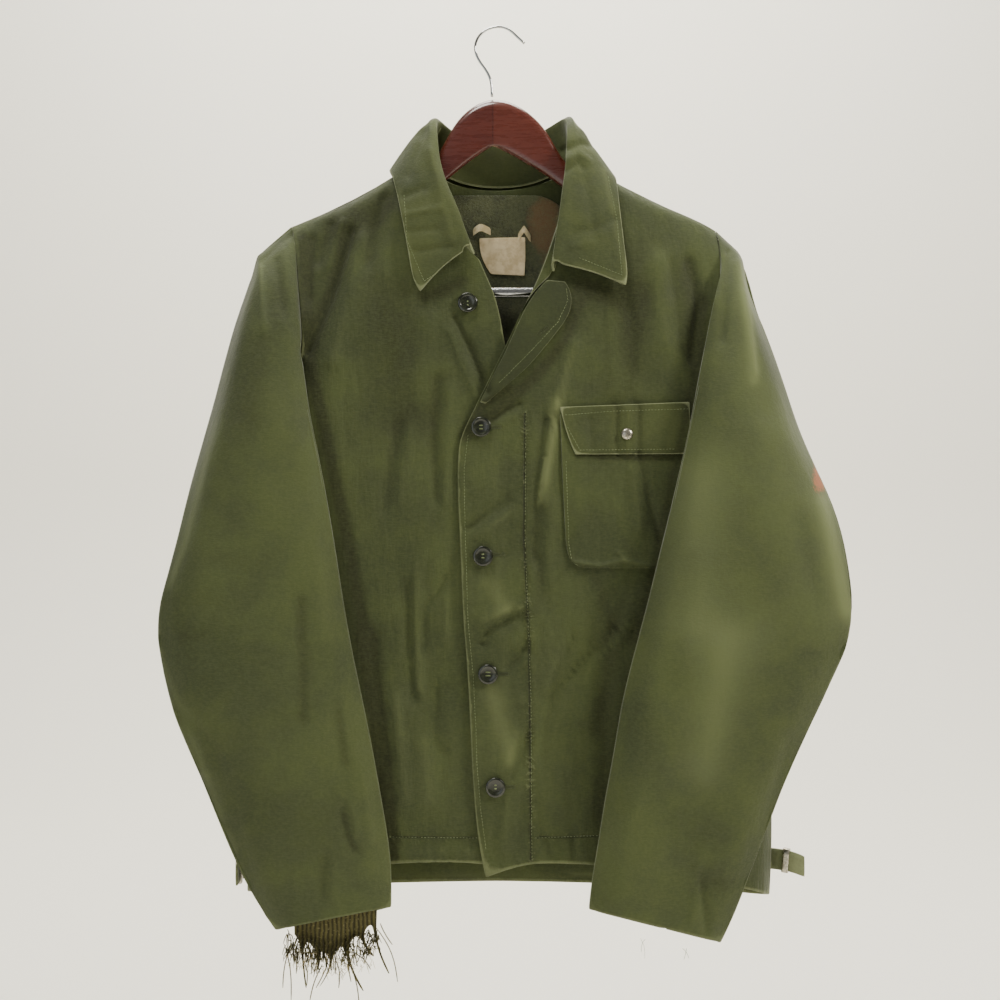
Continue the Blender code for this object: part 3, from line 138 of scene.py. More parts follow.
def sateenOf(name, dark, middle, pale, worn, wear=0.5, streaks=1.0, seams=(), stains=()):
    # Cotton sateen washed thin: tone drifts in patches, raised edges are rubbed pale, seams pucker.
    made, shader, put, place = newMaterial(name)
    seen = put("attribute", attribute_name="seen", output="Vector")
    seenX, seenY = (put("split", seen, output=way) for way in ("X", "Y"))
    shadeLightAndWear = put("attribute", attribute_name="shadeLightAndWear")
    edge = put("attribute", attribute_name="edge")
    broad = put("noise", place, 1000 / 130.0, 2.0, 0.55)
    patches = put("noise", place, 1000 / 34.0, 4.0, 0.62)
    specks = put("noise", place, 1000 / 3.2, 3.0, 0.7)
    slub = put("mapping", place, (0.28, 1.0, 1.9))
    yarn = put("noise", slub, 1000 / 1.5, 2.0, 0.6)
    upright = put("mapping", place, (1.0, 1.0, 0.22))
    streak = put("noise", upright, 1000 / 11.0, 3.0, 0.5)
    drift = put("add", put("multiply", broad, 0.55), put("multiply", patches, 0.45))
    body = put("mix", put("ramp", drift, 0.38, 0.64), colour(dark), colour(middle))
    # The tone attribute is painted shade and painted light: below zero the cloth darkens toward the painted
    # shade colour #23260f, above zero it pales toward the pale colour, which also stands for wear
    paintedLightAndWear = put("ramp", shadeLightAndWear, 0.0, 1.0)
    paintedShade = put("ramp", shadeLightAndWear, 0.0, -1.0)
    body = put("mix", paintedLightAndWear, body, colour(pale))
    body = put("mix", put("multiply", paintedShade, 0.8), body, colour("#23260f"))
    grain = put("add", put("multiply", specks, 0.5), put("multiply", yarn, 0.5))
    fleck = put("ramp", grain, 0.36, 0.66)
    body = put("mix", put("multiply", fleck, 0.16), body, colour(pale))
    rubbed = put("add", put("ramp", edge, 0.86, 1.0), put("multiply", patches, 0.9))
    rubbed = put("ramp", put("add", rubbed, put("multiply", specks, 0.5)), 1.15, 1.85)
    body = put("mix", put("multiply", rubbed, wear), body, colour(worn))
    puckers = put("multiply", specks, 0.1)
    for row in seams:
        away, along = segmentOf(put, seenX, seenY, row["line"])
        shadedGroove = put("ramp", away, 0.5, 1.5, 1.0, 0.0)
        near = put("ramp", away, 0.0, row["reach"], 1.0, 0.0)
        phase = put("add", put("multiply", along, 0.8), put("multiply", patches, 46.0))
        wave = put("sine", phase)
        uneven = put("ramp", put("add", broad, specks), 0.8, 1.25)
        ripple = put("multiply", put("multiply", wave, near), row["pucker"])
        ripple = put("multiply", ripple, uneven)
        height = put("subtract", ripple, shadedGroove)
        puckers = put("add", puckers, height)
        # Painted shade darkens the seam's groove
        body = put("mix", put("multiply", shadedGroove, 0.6), body, colour("#1c1f0d"))
        # The puckers' crests are paled, partly as wear and partly as painted light
        crestLightAndWear = put("multiply", put("ramp", ripple, 0.15, 0.6), 0.3)
        body = put("mix", crestLightAndWear, body, colour(worn))
    for row in stains:
        away = awayFromSpot(put, seenX, seenY, row, specks, 1.6)
        share = put("multiply", put("ramp", away, 0.5, 1.1, 1.0, 0.0), row["share"])
        body = put("mix", share, body, colour(row["colour"]))
    weave = put("bump", yarn, 0.35 * mm, 0.55)
    fuzz = put("bump", specks, 0.5 * mm, 0.35, weave)
    soft = put("bump", patches, 2.2 * mm, 0.4, fuzz)
    soft = put("bump", streak, 3.2 * streaks * mm, 0.6, soft)
    puckered = put("bump", puckers, 0.8 * mm, 0.8, soft)
    rough = put("ramp", patches, 0.3, 0.7, 0.72, 0.88)
    finishWith(
        shader, Base_Color=body, Roughness=rough, Normal=puckered,
        Sheen_Weight=0.18, Sheen_Roughness=0.45, Specular_IOR_Level=0.25,
    )
    return made


# Sateen on each piece: its seams as lines on the photograph
hemSeams = [
    {"line": (392, 837, 476, 838), "reach": 14.0, "pucker": 0.5},
    {"line": (536, 838, 600, 836), "reach": 14.0, "pucker": 0.5},
]
placketSeams = [
    {"line": (525, 414, 524, 540), "reach": 10.0, "pucker": 0.75},
    {"line": (524, 540, 529, 640), "reach": 10.0, "pucker": 0.8},
    {"line": (529, 640, 531, 860), "reach": 9.0, "pucker": 0.8},
]
bodySateen = {"dark": "#333a1f", "middle": "#454d2a", "pale": "#656c45", "worn": "#7a805a"}
sleeveSateen = {
    "dark": "#353c21", "middle": "#454d2a", "pale": "#666e47", "worn": "#757c56",
    "wear": 0.3, "streaks": 0.3,
}
rustMark = {"x": 820.0, "y": 477.0, "wide": 8.0, "tall": 17.0, "share": 0.8, "colour": "#a5603a"}
trimSateen = {
    "dark": "#343b20", "middle": "#454c29", "pale": "#666d46", "worn": "#868c68",
    "wear": 0.75, "streaks": 0.5,
}
lapelSateen = {
    "dark": "#2c321b", "middle": "#383f23", "pale": "#4e5535", "worn": "#7d8360",
    "wear": 0.45, "streaks": 0.5,
}

# The right front is darkest at the chest, where the front's tone rows darken it
frontRightCloth = sateenOf("olive sateen, right front", seams=hemSeams[:1], **bodySateen)
# The left front carries the placket, whose stitching has drawn the cloth into short ripples
frontLeftCloth = sateenOf("olive sateen, left front", seams=hemSeams[1:] + placketSeams, **bodySateen)
# The pocket's edges are turned under and hardly rubbed
pocketCloth = sateenOf("olive sateen, pocket", wear=0.12, **bodySateen)
# The back is the same cloth with no seams across it
backCloth = sateenOf("olive sateen, back", **bodySateen)
# The sleeves are faded most, and the left one has a rust-coloured mark at the elbow
sleeveCloth = sateenOf("olive sateen, sleeves", stains=[rustMark], **sleeveSateen)
# Collar, pocket flap and straps are rubbed pale along every edge
trimCloth = sateenOf("olive sateen, trim", **trimSateen)
# The lapel's facing is given darker colours than the other pieces
lapelCloth = sateenOf("olive sateen, lapel", **lapelSateen)
feltedPatch = {"x": 545.0, "y": 226.0, "wide": 17.0, "tall": 36.0}


def pileOf():
    # Wool pile lining: matted, dark, with a brown patch where it has felted.
    made, shader, put, place = newMaterial("felted wool pile")
    seen = put("attribute", attribute_name="seen", output="Vector")
    seenX, seenY = (put("split", seen, output=way) for way in ("X", "Y"))
    tufts = put("noise", place, 1000 / 2.4, 5.0, 0.75)
    mats = put("noise", place, 1000 / 16.0, 3.0, 0.55)
    body = put("mix", put("ramp", mats, 0.35, 0.65), colour("#2f331c"), colour("#454a2c"))
    away = awayFromSpot(put, seenX, seenY, feltedPatch, mats, 1.5)
    body = put("mix", put("ramp", away, 0.5, 1.2, 0.8, 0.0), body, colour("#6b4d2c"))
    body = put("mix", put("ramp", tufts, 0.3, 0.75, 0.0, 0.5), body, colour("#646844"))
    finishWith(
        shader, Base_Color=body, Normal=put("bump", tufts, 2.5 * mm, 0.9),
        Roughness=0.95, Sheen_Weight=0.3,
    )
    return made


def cottonOf(name, base, shade, bump=0.6):
    # Plain woven cotton tape: cream yarns crossing at half a millimetre, soiled in patches.
    made, shader, put, place = newMaterial(name)
    soil = put("noise", place, 1000 / 9.0, 4.0, 0.6)
    upright, level = (put("wave", place, 260.0, 0.6, bands_direction=way) for way in ("X", "Z"))
    weave = put("multiply", upright, level)
    body = put("mix", put("ramp", soil, 0.35, 0.7), colour(base), colour(shade))
    finishWith(shader, Base_Color=body, Normal=put("bump", weave, 0.3 * mm, bump), Roughness=0.9)
    return made


def knitOf():
    # Worsted rib knit, torn: dark olive yarns in uprights 2 mm apart, with fluff between them.
    made, shader, put, place = newMaterial("torn rib knit")
    rib = put("wave", place, 78.0, 3.0, 2.0, bands_direction="X")
    fluff = put("noise", place, 1000 / 2.0, 4.0, 0.7)
    body = put("mix", rib, colour("#2c2910"), colour("#57522a"))
    body = put("mix", put("ramp", fluff, 0.55, 0.75, 0.0, 0.6), body, colour("#9a8f62"))
    finishWith(shader, Base_Color=body, Normal=put("bump", put("add", rib, fluff), mm, 0.9), Roughness=0.95)
    return made


def threadOf(name, base, shade):
    # Sewing thread: two-ply cotton, a little lighter than the cloth where it stands up.
    made, shader, put, place = newMaterial(name)
    twist = put("noise", place, 1000 / 0.8, 2.0, 0.55)
    drift = put("noise", place, 1000 / 22.0, 2.0, 0.55)
    share = put("add", put("multiply", twist, 0.5), put("multiply", drift, 0.5))
    body = put("mix", put("ramp", share, 0.4, 0.6), colour(base), colour(shade))
    finishWith(shader, Base_Color=body, Roughness=0.8)
    return made


def plasticOf():
    # Pressed urea buttons: dark olive and glossy, with fine scratches.
    made, shader, put, place = newMaterial("olive button plastic")
    mottle = put("noise", place, 1000 / 5.0, 3.0, 0.55)
    scratch = put("noise", place, 1000 / 0.7, 4.0, 0.7)
    body = put("mix", put("ramp", mottle, 0.35, 0.65), colour("#15180d"), colour("#25291a"))
    rough, relief = put("ramp", scratch, 0.3, 0.7, 0.1, 0.28), put("bump", scratch, 0.08 * mm, 0.3)
    finishWith(shader, Base_Color=body, Roughness=rough, Normal=relief, Coat_Weight=0.4)
    return made


def metalOf(name, base, shade, low, high, grain=2.0):
    # Plated metal: bright, with faint smears that change how sharply it reflects.
    made, shader, put, place = newMaterial(name)
    smear = put("noise", place, 1000 / grain, 4.0, 0.65)
    body = put("mix", put("ramp", smear, 0.4, 0.7), colour(base), colour(shade))
    rough, relief = put("ramp", smear, 0.3, 0.7, low, high), put("bump", smear, 0.05 * mm, 0.25)
    finishWith(shader, Base_Color=body, Roughness=rough, Normal=relief, Metallic=1.0)
    return made


def woodOf():
    # Cherry-stained beech under lacquer: grain runs along the arms, and edges show paler wood.
    made, shader, put, place = newMaterial("lacquered hanger wood")
    edge = put("attribute", attribute_name="edge")
    along = put("mapping", place, (0.12, 1.0, 1.0))
    grain = put("noise", along, 1000 / 3.0, 6.0, 0.65)
    figure = put("noise", along, 1000 / 14.0, 3.0, 0.55)
    body = put("mix", put("ramp", grain, 0.2, 0.8), colour("#431a15"), colour("#522219"))
    body = put("mix", put("ramp", figure, 0.4, 0.7, 0.0, 0.35), body, colour("#5e2b1e"))
    across = put("split", place, output="X")
    joint = put("ramp", put("absolute", across), 0.0002, 0.0009, 0.55, 0.0)
    body = put("mix", joint, body, colour("#2a0f0b"))
    half = put("ramp", across, 0.0, 0.001, 0.0, 0.25)
    body = put("mix", half, body, colour("#6a3424"))
    rubbed = put("ramp", put("add", edge, put("multiply", figure, 0.4)), 0.95, 1.25, 0.0, 0.6)
    body = put("mix", rubbed, body, colour("#9a7a64"))
    rough, relief = put("ramp", grain, 0.3, 0.7, 0.22, 0.36), put("bump", grain, 0.12 * mm, 0.3)
    finishWith(
        shader, Base_Color=body, Roughness=rough, Normal=relief,
        Coat_Weight=0.6, Coat_Roughness=0.12,
    )
    return made


pile = pileOf()
labelCotton = cottonOf("bare cream label", "#ead8b0", "#cfb98f")
tapeCotton = cottonOf("torn cream tape", "#dccfa9", "#b5a47a")
knit = knitOf()
oliveThread = threadOf("olive sewing thread", "#5d6741", "#808a62")
darkThread = threadOf("dark button thread", "#3a3f28", "#565c3e")
creamFluff = threadOf("cream fluff", "#c9bb90", "#8f8558")
drawnYarn = threadOf("drawn knit yarn", "#3a3518", "#5d5630")
plastic = plasticOf()
nickel = metalOf("worn nickel", "#b9b4a6", "#8d8778", 0.22, 0.42)
steel = metalOf("polished hook steel", "#c9cacb", "#a9abac", 0.08, 0.2)
wood = woodOf()
print("materials made")


# Tools for pieces: troughs are darkened with painted shade, and ridges made paler, partly as rubbed wear and
# partly as painted light, by this gain for each millimetre
foldShadeAndWearGain = 0.11


def activate(piece):
    # Selects one object alone and makes it active.
    bpy.ops.object.select_all(action="DESELECT")
    piece.hide_set(False)
    piece.select_set(True)
    bpy.context.view_layer.objects.active = piece


def pixelsOf(points):
    # Where points are seen in the photograph, as arrays of x and y pixels.
    share = (points[:, 1] - eye.y) / (seenPlane - eye.y)
    x = middlePixel + (points[:, 0] - eye.x) / share / pixel
    y = middlePixel - (points[:, 2] - eye.z) / share / pixel
    return x, y


def planePoint(x, y):
    return Vector((eye.x + (x - middlePixel) * pixel, seenPlane, eye.z - (y - middlePixel) * pixel))


def awayFrom(x, y, path):
    # Distance of each pixel from a path of pixels.
    least = np.full(len(x), 1e9)
    for (x1, y1), (x2, y2) in zip(path, path[1:]):
        dx, dy = x2 - x1, y2 - y1
        t = np.clip(((x - x1) * dx + (y - y1) * dy) / (dx * dx + dy * dy), 0, 1)
        least = np.minimum(least, np.hypot(x - x1 - t * dx, y - y1 - t * dy))
    return least


def spread(x, y, rows):
    # The sum of soft ridges and troughs along their paths.
    total = np.zeros(len(x))
    for row in rows:
        away = awayFrom(x, y, row["path"]) / row["width"]
        total += row["amount"] / (1 + away ** 2) ** 2
    return total


def setPoints(mesh, name, values):
    layer = mesh.attributes.get(name) or mesh.attributes.new(name, "FLOAT", "POINT")
    layer.data.foreach_set("value", np.asarray(values, dtype=np.float32))


def copyOf(nodeName, pieceName, levels, crease=0.8, sharp=50.0):
    # A subdivided copy of a CAD node: doubles merged, quads restored, its edges creased.
    piece = bpy.data.objects.new(pieceName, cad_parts[nodeName].data.copy())
    bpy.context.scene.collection.objects.link(piece)
    activate(piece)
    piece.data.materials.clear()
    bpy.ops.mesh.customdata_custom_splitnormals_clear()
    bpy.ops.object.mode_set(mode="EDIT")
    bpy.ops.mesh.select_all(action="SELECT")
    bpy.ops.mesh.remove_doubles(threshold=0.02 * mm)
    bpy.ops.mesh.tris_convert_to_quads(face_threshold=math.radians(70), shape_threshold=math.radians(70))
    bpy.ops.mesh.select_all(action="DESELECT")
    bpy.ops.mesh.select_mode(type="EDGE")
    bpy.ops.mesh.edges_select_sharp(sharpness=math.radians(sharp))
    bpy.ops.transform.edge_crease(value=crease)
    bpy.ops.object.mode_set(mode="OBJECT")
    mesh = piece.data
    onEdge = np.zeros(len(mesh.vertices))
    for line in mesh.edges:
        if line.select:
            onEdge[list(line.vertices)] = 1.0
    setPoints(mesh, "edge", onEdge)
    smooth = piece.modifiers.new("smooth", "SUBSURF")
    smooth.levels = smooth.render_levels = levels
    bpy.ops.object.modifier_apply(modifier="smooth")
    bpy.ops.object.shade_smooth()
    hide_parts(nodeName)
    return piece


def shapeCloth(piece, direction, folds=(), shadeLightAndWearRows=(), drift=1.0, seed=0.0, foldGain=1.75):
    # Moves the cloth by its folds and a slow drift, and stores where it is seen and its tone: the painted
    # shade, painted light and wear of its tone rows, with fold troughs darkened as painted shade and ridges
    # paled as painted light and wear.
    mesh = piece.data
    points = np.empty(len(mesh.vertices) * 3)
    mesh.vertices.foreach_get("co", points)
    points = points.reshape(-1, 3)
    x, y = pixelsOf(points)
    lift = foldGain * spread(x, y, folds)
    # Painted shade darkens fold troughs; ridges are paled as painted light and rubbed wear
    foldShadeAndWear = foldShadeAndWearGain * lift
    for k, point in enumerate(points):
        where = Vector((point[0] * 14 + seed, point[2] * 9, seed))
        lift[k] += drift * noise.noise(where) + 0.35 * drift * noise.noise(where * 3.1)
    points += np.outer(lift * mm, direction)
    mesh.vertices.foreach_set("co", points.reshape(-1))
    mesh.update()
    setPoints(mesh, "shadeLightAndWear", spread(x, y, shadeLightAndWearRows) + foldShadeAndWear)
    layer = mesh.attributes.new("seen", "FLOAT_VECTOR", "POINT")
    layer.data.foreach_set("vector", np.column_stack((x, y, 0 * x)).reshape(-1).astype(np.float32))


def dress(piece, material):
    piece.data.materials.clear()
    piece.data.materials.append(material)
    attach(piece, "root")
    return piece


def treeOf(piece):
    points = [vertex.co.copy() for vertex in piece.data.vertices]
    return BVHTree.FromPolygons(points, [tuple(face.vertices) for face in piece.data.polygons])


def onCloth(tree, x, y, lift=0.0):
    # The point of a piece seen at a pixel, lifted toward the eye by millimetres.
    way = (planePoint(x, y) - eye).normalized()
    hit = tree.ray_cast(eye, way)[0]
    return None if hit is None else hit - way * lift * mm


def strands(name, lines, radius, material, sides=1, widths=None):
    # Threads along lists of points, as one bevelled curve made into a mesh.
    bpy.ops.object.select_all(action="DESELECT")
    curve = bpy.data.curves.new(name, "CURVE")
    curve.dimensions = "3D"
    curve.bevel_depth = radius * mm
    curve.bevel_resolution = sides
    curve.use_fill_caps = True
    for row, line in enumerate(lines):
        spline = curve.splines.new("POLY")
        spline.points.add(len(line) - 1)
        for k, (target, point) in enumerate(zip(spline.points, line)):
            target.co = (*point, 1.0)
            target.radius = 0.55 if k in (0, len(line) - 1) else 1.0
            if widths:
                target.radius *= widths[row][k]
    piece = bpy.data.objects.new(name, curve)
    bpy.context.scene.collection.objects.link(piece)
    activate(piece)
    bpy.ops.object.convert(target="MESH")
    bpy.ops.object.shade_smooth()
    return dress(piece, material)


def walk(path, pitch):
    # Places every pitch along a path of pixels, each with the way it runs.
    left = 0.0
    for (x1, y1), (x2, y2) in zip(path, path[1:]):
        long = math.hypot(x2 - x1, y2 - y1)
        ux, uy = (x2 - x1) / long, (y2 - y1) / long
        at = left
        while at < long:
            yield x1 + ux * at, y1 + uy * at, ux, uy
            at += pitch
        left = at - long


# Folds of the body, and its tones of painted shade, painted light and wear, as paths of pixels; amount is
# millimetres toward the viewer
def rowsOf(*rows):
    return [{"path": path, "width": width, "amount": amount} for path, width, amount in rows]


def puckersAlong(path, gap, before, after, amount):
    # Short uneven creases across a seam, where its thread has drawn the cloth up.
    rows = []
    for x, y, ux, uy in walk(path, gap):
        slip = random.uniform(-0.3, 0.3) * gap
        lean = random.uniform(-0.35, 0.35)
        near, far = before * random.uniform(0.4, 1.1), after * random.uniform(0.4, 1.1)
        x, y = x + ux * slip, y + uy * slip
        ends = ((x - (uy + ux * lean) * near, y + (ux - uy * lean) * near),
                (x + (uy - ux * lean) * far, y - (ux + uy * lean) * far))
        height = random.choice((-1, -1, 1)) * random.uniform(0.3, 1.0) * amount
        rows.append({"path": ends, "width": random.uniform(1.4, 2.2), "amount": height})
    return rows


frontFolds = rowsOf(
    (((349, 232), (336, 280), (308, 350)), 8, -3.6),
    (((362, 240), (350, 290), (334, 360)), 13, 2.0),
    (((330, 225), (318, 262)), 6, -1.5),
    (((342, 222), (328, 268)), 5, 1.2),
    (((312, 240), (308, 300)), 6, -1.6),
    (((384, 198), (374, 226), (367, 262)), 8, -2.0),
    (((396, 215), (384, 270)), 10, 1.2),
    (((398, 424), (390, 470), (384, 510)), 6, -2.0),
    (((410, 430), (402, 500)), 9, 1.3),
    (((437, 380), (433, 430), (436, 500)), 7, -2.0),
    (((450, 390), (446, 500)), 8, 1.3),
    (((430, 320), (420, 400)), 16, 1.2),
    (((405, 585), (408, 640), (414, 700)), 5, -2.4),
    (((417, 560), (418, 690)), 5, 1.4),
    (((446, 576), (438, 596), (424, 606), (424, 650)), 4, -1.8),
    (((448, 600), (446, 640)), 5, 1.0),
    (((452, 560), (452, 620)), 4, -0.9),
    (((436, 690), (434, 745), (446, 756)), 5, -1.6),
    (((424, 740), (430, 800)), 9, 1.1),
    (((396, 700), (404, 800)), 9, 1.3),
    (((372, 640), (384, 760)), 12, -1.6),
    (((455, 318), (470, 350), (488, 392)), 4, -2.2),
    (((448, 330), (476, 396)), 5, 1.2),
    (((470, 343), (484, 380)), 4, -1.2),
    (((572, 345), (560, 400), (550, 450), (542, 500)), 9, 2.4),
    (((546, 420), (538, 480), (534, 560)), 6, -2.6),
    (((556, 500), (548, 580)), 9, 1.2),
    (((540, 560), (546, 610)), 6, -1.4),
    (((689, 262), (700, 306), (692, 360)), 8, -2.6),
    (((672, 262), (676, 300), (682, 350)), 6, -1.2),
    (((660, 262), (664, 341)), 12, 2.0),
    (((628, 300), (634, 372)), 7, -1.5),
    (((612, 310), (616, 390)), 9, 1.0),
    (((640, 455), (650, 500), (660, 540)), 5, -1.8),
    (((632, 470), (640, 530)), 7, 1.0),
    (((617, 405), (617, 452)), 3.5, -1.5),
    (((639, 405), (639, 452)), 3.5, -1.5),
    (((590, 420), (592, 448)), 5, -0.9),
    (((628, 410), (628, 450)), 5, 1.0),
    (((574, 562), (600, 566), (624, 560), (648, 566)), 4, 1.3),
    (((618, 552), (626, 562)), 3, 1.0),
    (((616, 628), (604, 644), (582, 664), (562, 684)), 5, -2.4),
    (((628, 622), (612, 642), (592, 662)), 4, 1.9),
    (((640, 620), (626, 646)), 5, -1.4),
    (((612, 590), (596, 612), (590, 640)), 6, -1.3),
    (((575, 636), (560, 666), (551, 699)), 4.5, -1.8),
    (((566, 640), (548, 690)), 5, 1.1),
    (((560, 690), (548, 726), (544, 760)), 6, -1.5),
    (((590, 690), (580, 740)), 9, 1.1),
    (((606, 700), (600, 820)), 9, -1.5),
    (((520, 404), (505, 410), (492, 420)), 3.5, -1.8),
    (((522, 414), (500, 424)), 3, 1.0),
    (((508, 500), (490, 512), (468, 528)), 5, -2.0),
    (((512, 512), (492, 524), (474, 536)), 4, 1.3),
    (((524, 545), (508, 552), (498, 555)), 3, -1.2),
    (((526, 614), (506, 621), (490, 628), (481, 644)), 3.8, -2.9),
    (((524, 606), (500, 611), (482, 622)), 3.8, 1.9),
    (((528, 644), (518, 658), (508, 668)), 3.5, -2.4),
    (((529, 656), (520, 668)), 3, 1.5),
    (((520, 636), (512, 646)), 3, 0.9),
    (((529, 730), (524, 752), (512, 778)), 5, -1.9),
    (((518, 730), (508, 764)), 5, 1.1),
    (((524, 800), (518, 850)), 4, -1.4),
    (((508, 800), (504, 850)), 4, 1.0),
    (((496, 820), (492, 860)), 3.5, -1.0),
    (((474, 720), (476, 800)), 5, 0.9),
    (((534, 770), (540, 832), (552, 852)), 4.5, -1.7),
    (((531, 560), (533, 700), (536, 836)), 4.5, 1.1),
    (((393, 850), (476, 851)), 6, 0.9),
    (((545, 852), (600, 851)), 6, 0.9),
    (((418, 840), (418, 862)), 3, -0.9),
    (((434, 840), (434, 862)), 3, -0.8),
    (((448, 840), (450, 862)), 3, -0.9),
    (((462, 842), (462, 860)), 3, -0.7),
    (((560, 842), (558, 860)), 3, -0.8),
    (((574, 842), (574, 860)), 3, -0.9),
    (((588, 842), (590, 860)), 3, -0.7),
)
frontFolds += puckersAlong(((526, 430), (525, 540), (529, 640), (532, 860)), 6.5, 11, 5, 1.0)
frontFolds += puckersAlong(((466, 480), (468, 620), (473, 674), (477, 766), (486, 858)), 9.0, 1, 8, 0.6)
frontFolds += puckersAlong(((392, 838), (476, 838)), 6.0, 16, 4, 0.8)
frontFolds += puckersAlong(((536, 838), (606, 836)), 6.0, 16, 4, 0.8)
# Painted shade beside the sleeves, under the collar, lapel and flap, along the placket seam and in creases;
# painted light on ridges and raised places; a pale rubbed line along the hem's edge
frontShadeLightAndWear = rowsOf(
    (((304, 240), (306, 300), (310, 360), (344, 520), (366, 640)), 8, -1.2),
    (((366, 640), (384, 770), (392, 864)), 9, -2.0),
    (((525, 414), (524, 540), (529, 640), (531, 860)), 2.4, -0.8),
    (((467, 428), (484, 404), (510, 388)), 4, -1.3),
    (((577, 456), (676, 456)), 2.2, -1.6),
    (((540, 570), (536, 620)), 8, -0.4),
    (((558, 402), (548, 452), (537, 508)), 3.5, 0.7),
    (((595, 575), (612, 625)), 8, -0.4),
    (((612, 655), (593, 730)), 14, -0.45),
    (((493, 440), (500, 560), (505, 700)), 14, 0.16),
    (((340, 225), (390, 205)), 28, -0.8),
    (((704, 300), (694, 380), (668, 500), (640, 640)), 8, -0.7),
    (((640, 640), (612, 760), (596, 864)), 12, -0.5),
    (((346, 240), (334, 282), (308, 352)), 6, -0.6),
    (((582, 288), (606, 294), (634, 300)), 13, -1.1),
    (((424, 296), (440, 292), (462, 282)), 8, -0.8),
    (((579, 300), (566, 340), (536, 376), (486, 420), (466, 436)), 7, -1.2),
    (((640, 290), (636, 330)), 14, -0.4),
    (((640, 250), (620, 390)), 40, -0.55),
    (((686, 270), (694, 350)), 14, -0.5),
    (((390, 300), (410, 410)), 54, -0.7),
    (((600, 456), (640, 457), (682, 457)), 3.5, -1.0),
    (((640, 600), (600, 640)), 24, -0.3),
    (((600, 690), (590, 830)), 20, -0.1),
    (((400, 680), (440, 820)), 46, 0.12),
    (((430, 600), (420, 700)), 16, 0.14),
    (((490, 690), (512, 760)), 15, 0.45),
    (((486, 580), (505, 606)), 13, 0.3),
    (((484, 440), (496, 480)), 18, 0.1),
    (((545, 600), (560, 680)), 14, 0.2),
    (((552, 400), (546, 480)), 8, 0.2),
    (((562, 770), (566, 820)), 22, 0.14),
    (((392, 864), (480, 864)), 3.5, 0.55),
    (((540, 864), (610, 863)), 3.5, 0.55),
)


def hangCloth(row, direction, folds, shadeLightAndWearRows, drift, seed, foldGain=1.75):
    # A sheet of the jacket that hangs from the hanger's shoulders.
    piece = copyOf(row["node"], row["name"], 3)
    shapeCloth(piece, direction, folds, shadeLightAndWearRows, drift, seed, foldGain)
    dress(piece, row["material"])
    return piece


rightFront = {
    "node": "front_right", "name": "right_front_cloth", "material": frontRightCloth,
    "flat": (0.26, 0.70), "area": 0.161,
}
leftFront = {
    "node": "front_left", "name": "left_front_cloth", "material": frontLeftCloth,
    "flat": (0.30, 0.70), "area": 0.179,
}


def makeFronts():
    # Over and under front, their folds placed as the photograph shows them.
    return {row["node"]: hangCloth(row, (0, -1, 0), frontFolds, frontShadeLightAndWear, 1.1, 1.7)
            for row in (rightFront, leftFront)}


backFolds = rowsOf(
    (((430, 260), (400, 460)), 26, 2.6),
    (((460, 300), (440, 520)), 20, -2.4),
    (((600, 280), (620, 500)), 24, 2.6),
    (((560, 420), (570, 700)), 26, -2.8),
    (((380, 520), (390, 800)), 26, -2.4),
    (((500, 560), (490, 850)), 24, 2.2),
    (((660, 480), (650, 780)), 24, -2.4),
    (((330, 420), (350, 560)), 16, 2.0),
    (((380, 700), (400, 850)), 12, 1.6),
    (((610, 690), (600, 850)), 12, -1.6),
)
# Painted shade beside the sleeves and below the collar, broad paler patches, and a pale rubbed line along the
# hem's edge
backShadeLightAndWear = rowsOf(
    (((306, 240), (318, 400)), 16, -0.6),
    (((700, 240), (690, 400)), 16, -0.6),
    (((440, 215), (500, 222), (560, 215)), 9, -0.5),
    (((400, 640), (430, 820)), 50, 0.15),
    (((560, 300), (580, 420)), 50, 0.15),
    (((380, 874), (620, 874)), 4, 0.4),
)


backPanel = {"node": "back", "name": "back_cloth", "material": backCloth, "flat": (0.54, 0.70), "area": 0.343}


def makeBack():
    # The back hangs plain, with soft upright folds from the shoulder blades.
    return hangCloth(backPanel, (0, 1, 0), backFolds, backShadeLightAndWear, 1.2, 5.3)


sleeveFolds = rowsOf(
    (((262, 262), (278, 244), (294, 232)), 6, -1.6),
    (((258, 256), (262, 300), (264, 330)), 6, 1.8),
    (((276, 262), (284, 310)), 8, -1.4),
    (((300, 600), (303, 660), (302, 720)), 9, -1.5),
    (((320, 560), (326, 640)), 12, 1.0),
    (((216, 564), (262, 568)), 12, -0.9),
    (((166, 600), (206, 604)), 10, -1.0),
    (((157, 640), (205, 636)), 8, -1.3),
    (((180, 712), (210, 740), (222, 770)), 8, -1.4),
    (((206, 776), (236, 772)), 6, 1.1),
    (((250, 816), (228, 826)), 5, -1.4),
    (((336, 716), (344, 770)), 9, -1.5),
    (((342, 812), (346, 838), (356, 852)), 5, -2.2),
    (((352, 806), (358, 836)), 5, 1.2),
    (((326, 856), (322, 896)), 6, -1.6),
    (((334, 860), (334, 900)), 5, 1.0),
    (((366, 780), (372, 840)), 8, 1.2),
    (((232, 800), (252, 880)), 10, -1.0),
    (((741, 262), (746, 300), (754, 372)), 6, 2.4),
    (((728, 252), (728, 286), (722, 340)), 6, -2.2),
    (((716, 240), (712, 300)), 4, 1.2),
    (((762, 330), (776, 400)), 12, -1.0),
    (((820, 500), (838, 560), (848, 620)), 10, 1.6),
    (((802, 520), (820, 600)), 12, -1.0),
    (((690, 560), (672, 680)), 18, -0.9),
    (((724, 640), (706, 780)), 22, 1.0),
    (((640, 800), (624, 850)), 12, 1.2),
    (((700, 872), (703, 900), (707, 932)), 5, -1.9),
    (((700, 860), (694, 920)), 6, 1.3),
    (((742, 880), (700, 884)), 6, -1.1),
    (((790, 740), (764, 820)), 10, -1.0),
    (((846, 650), (800, 660)), 8, -1.2),
)
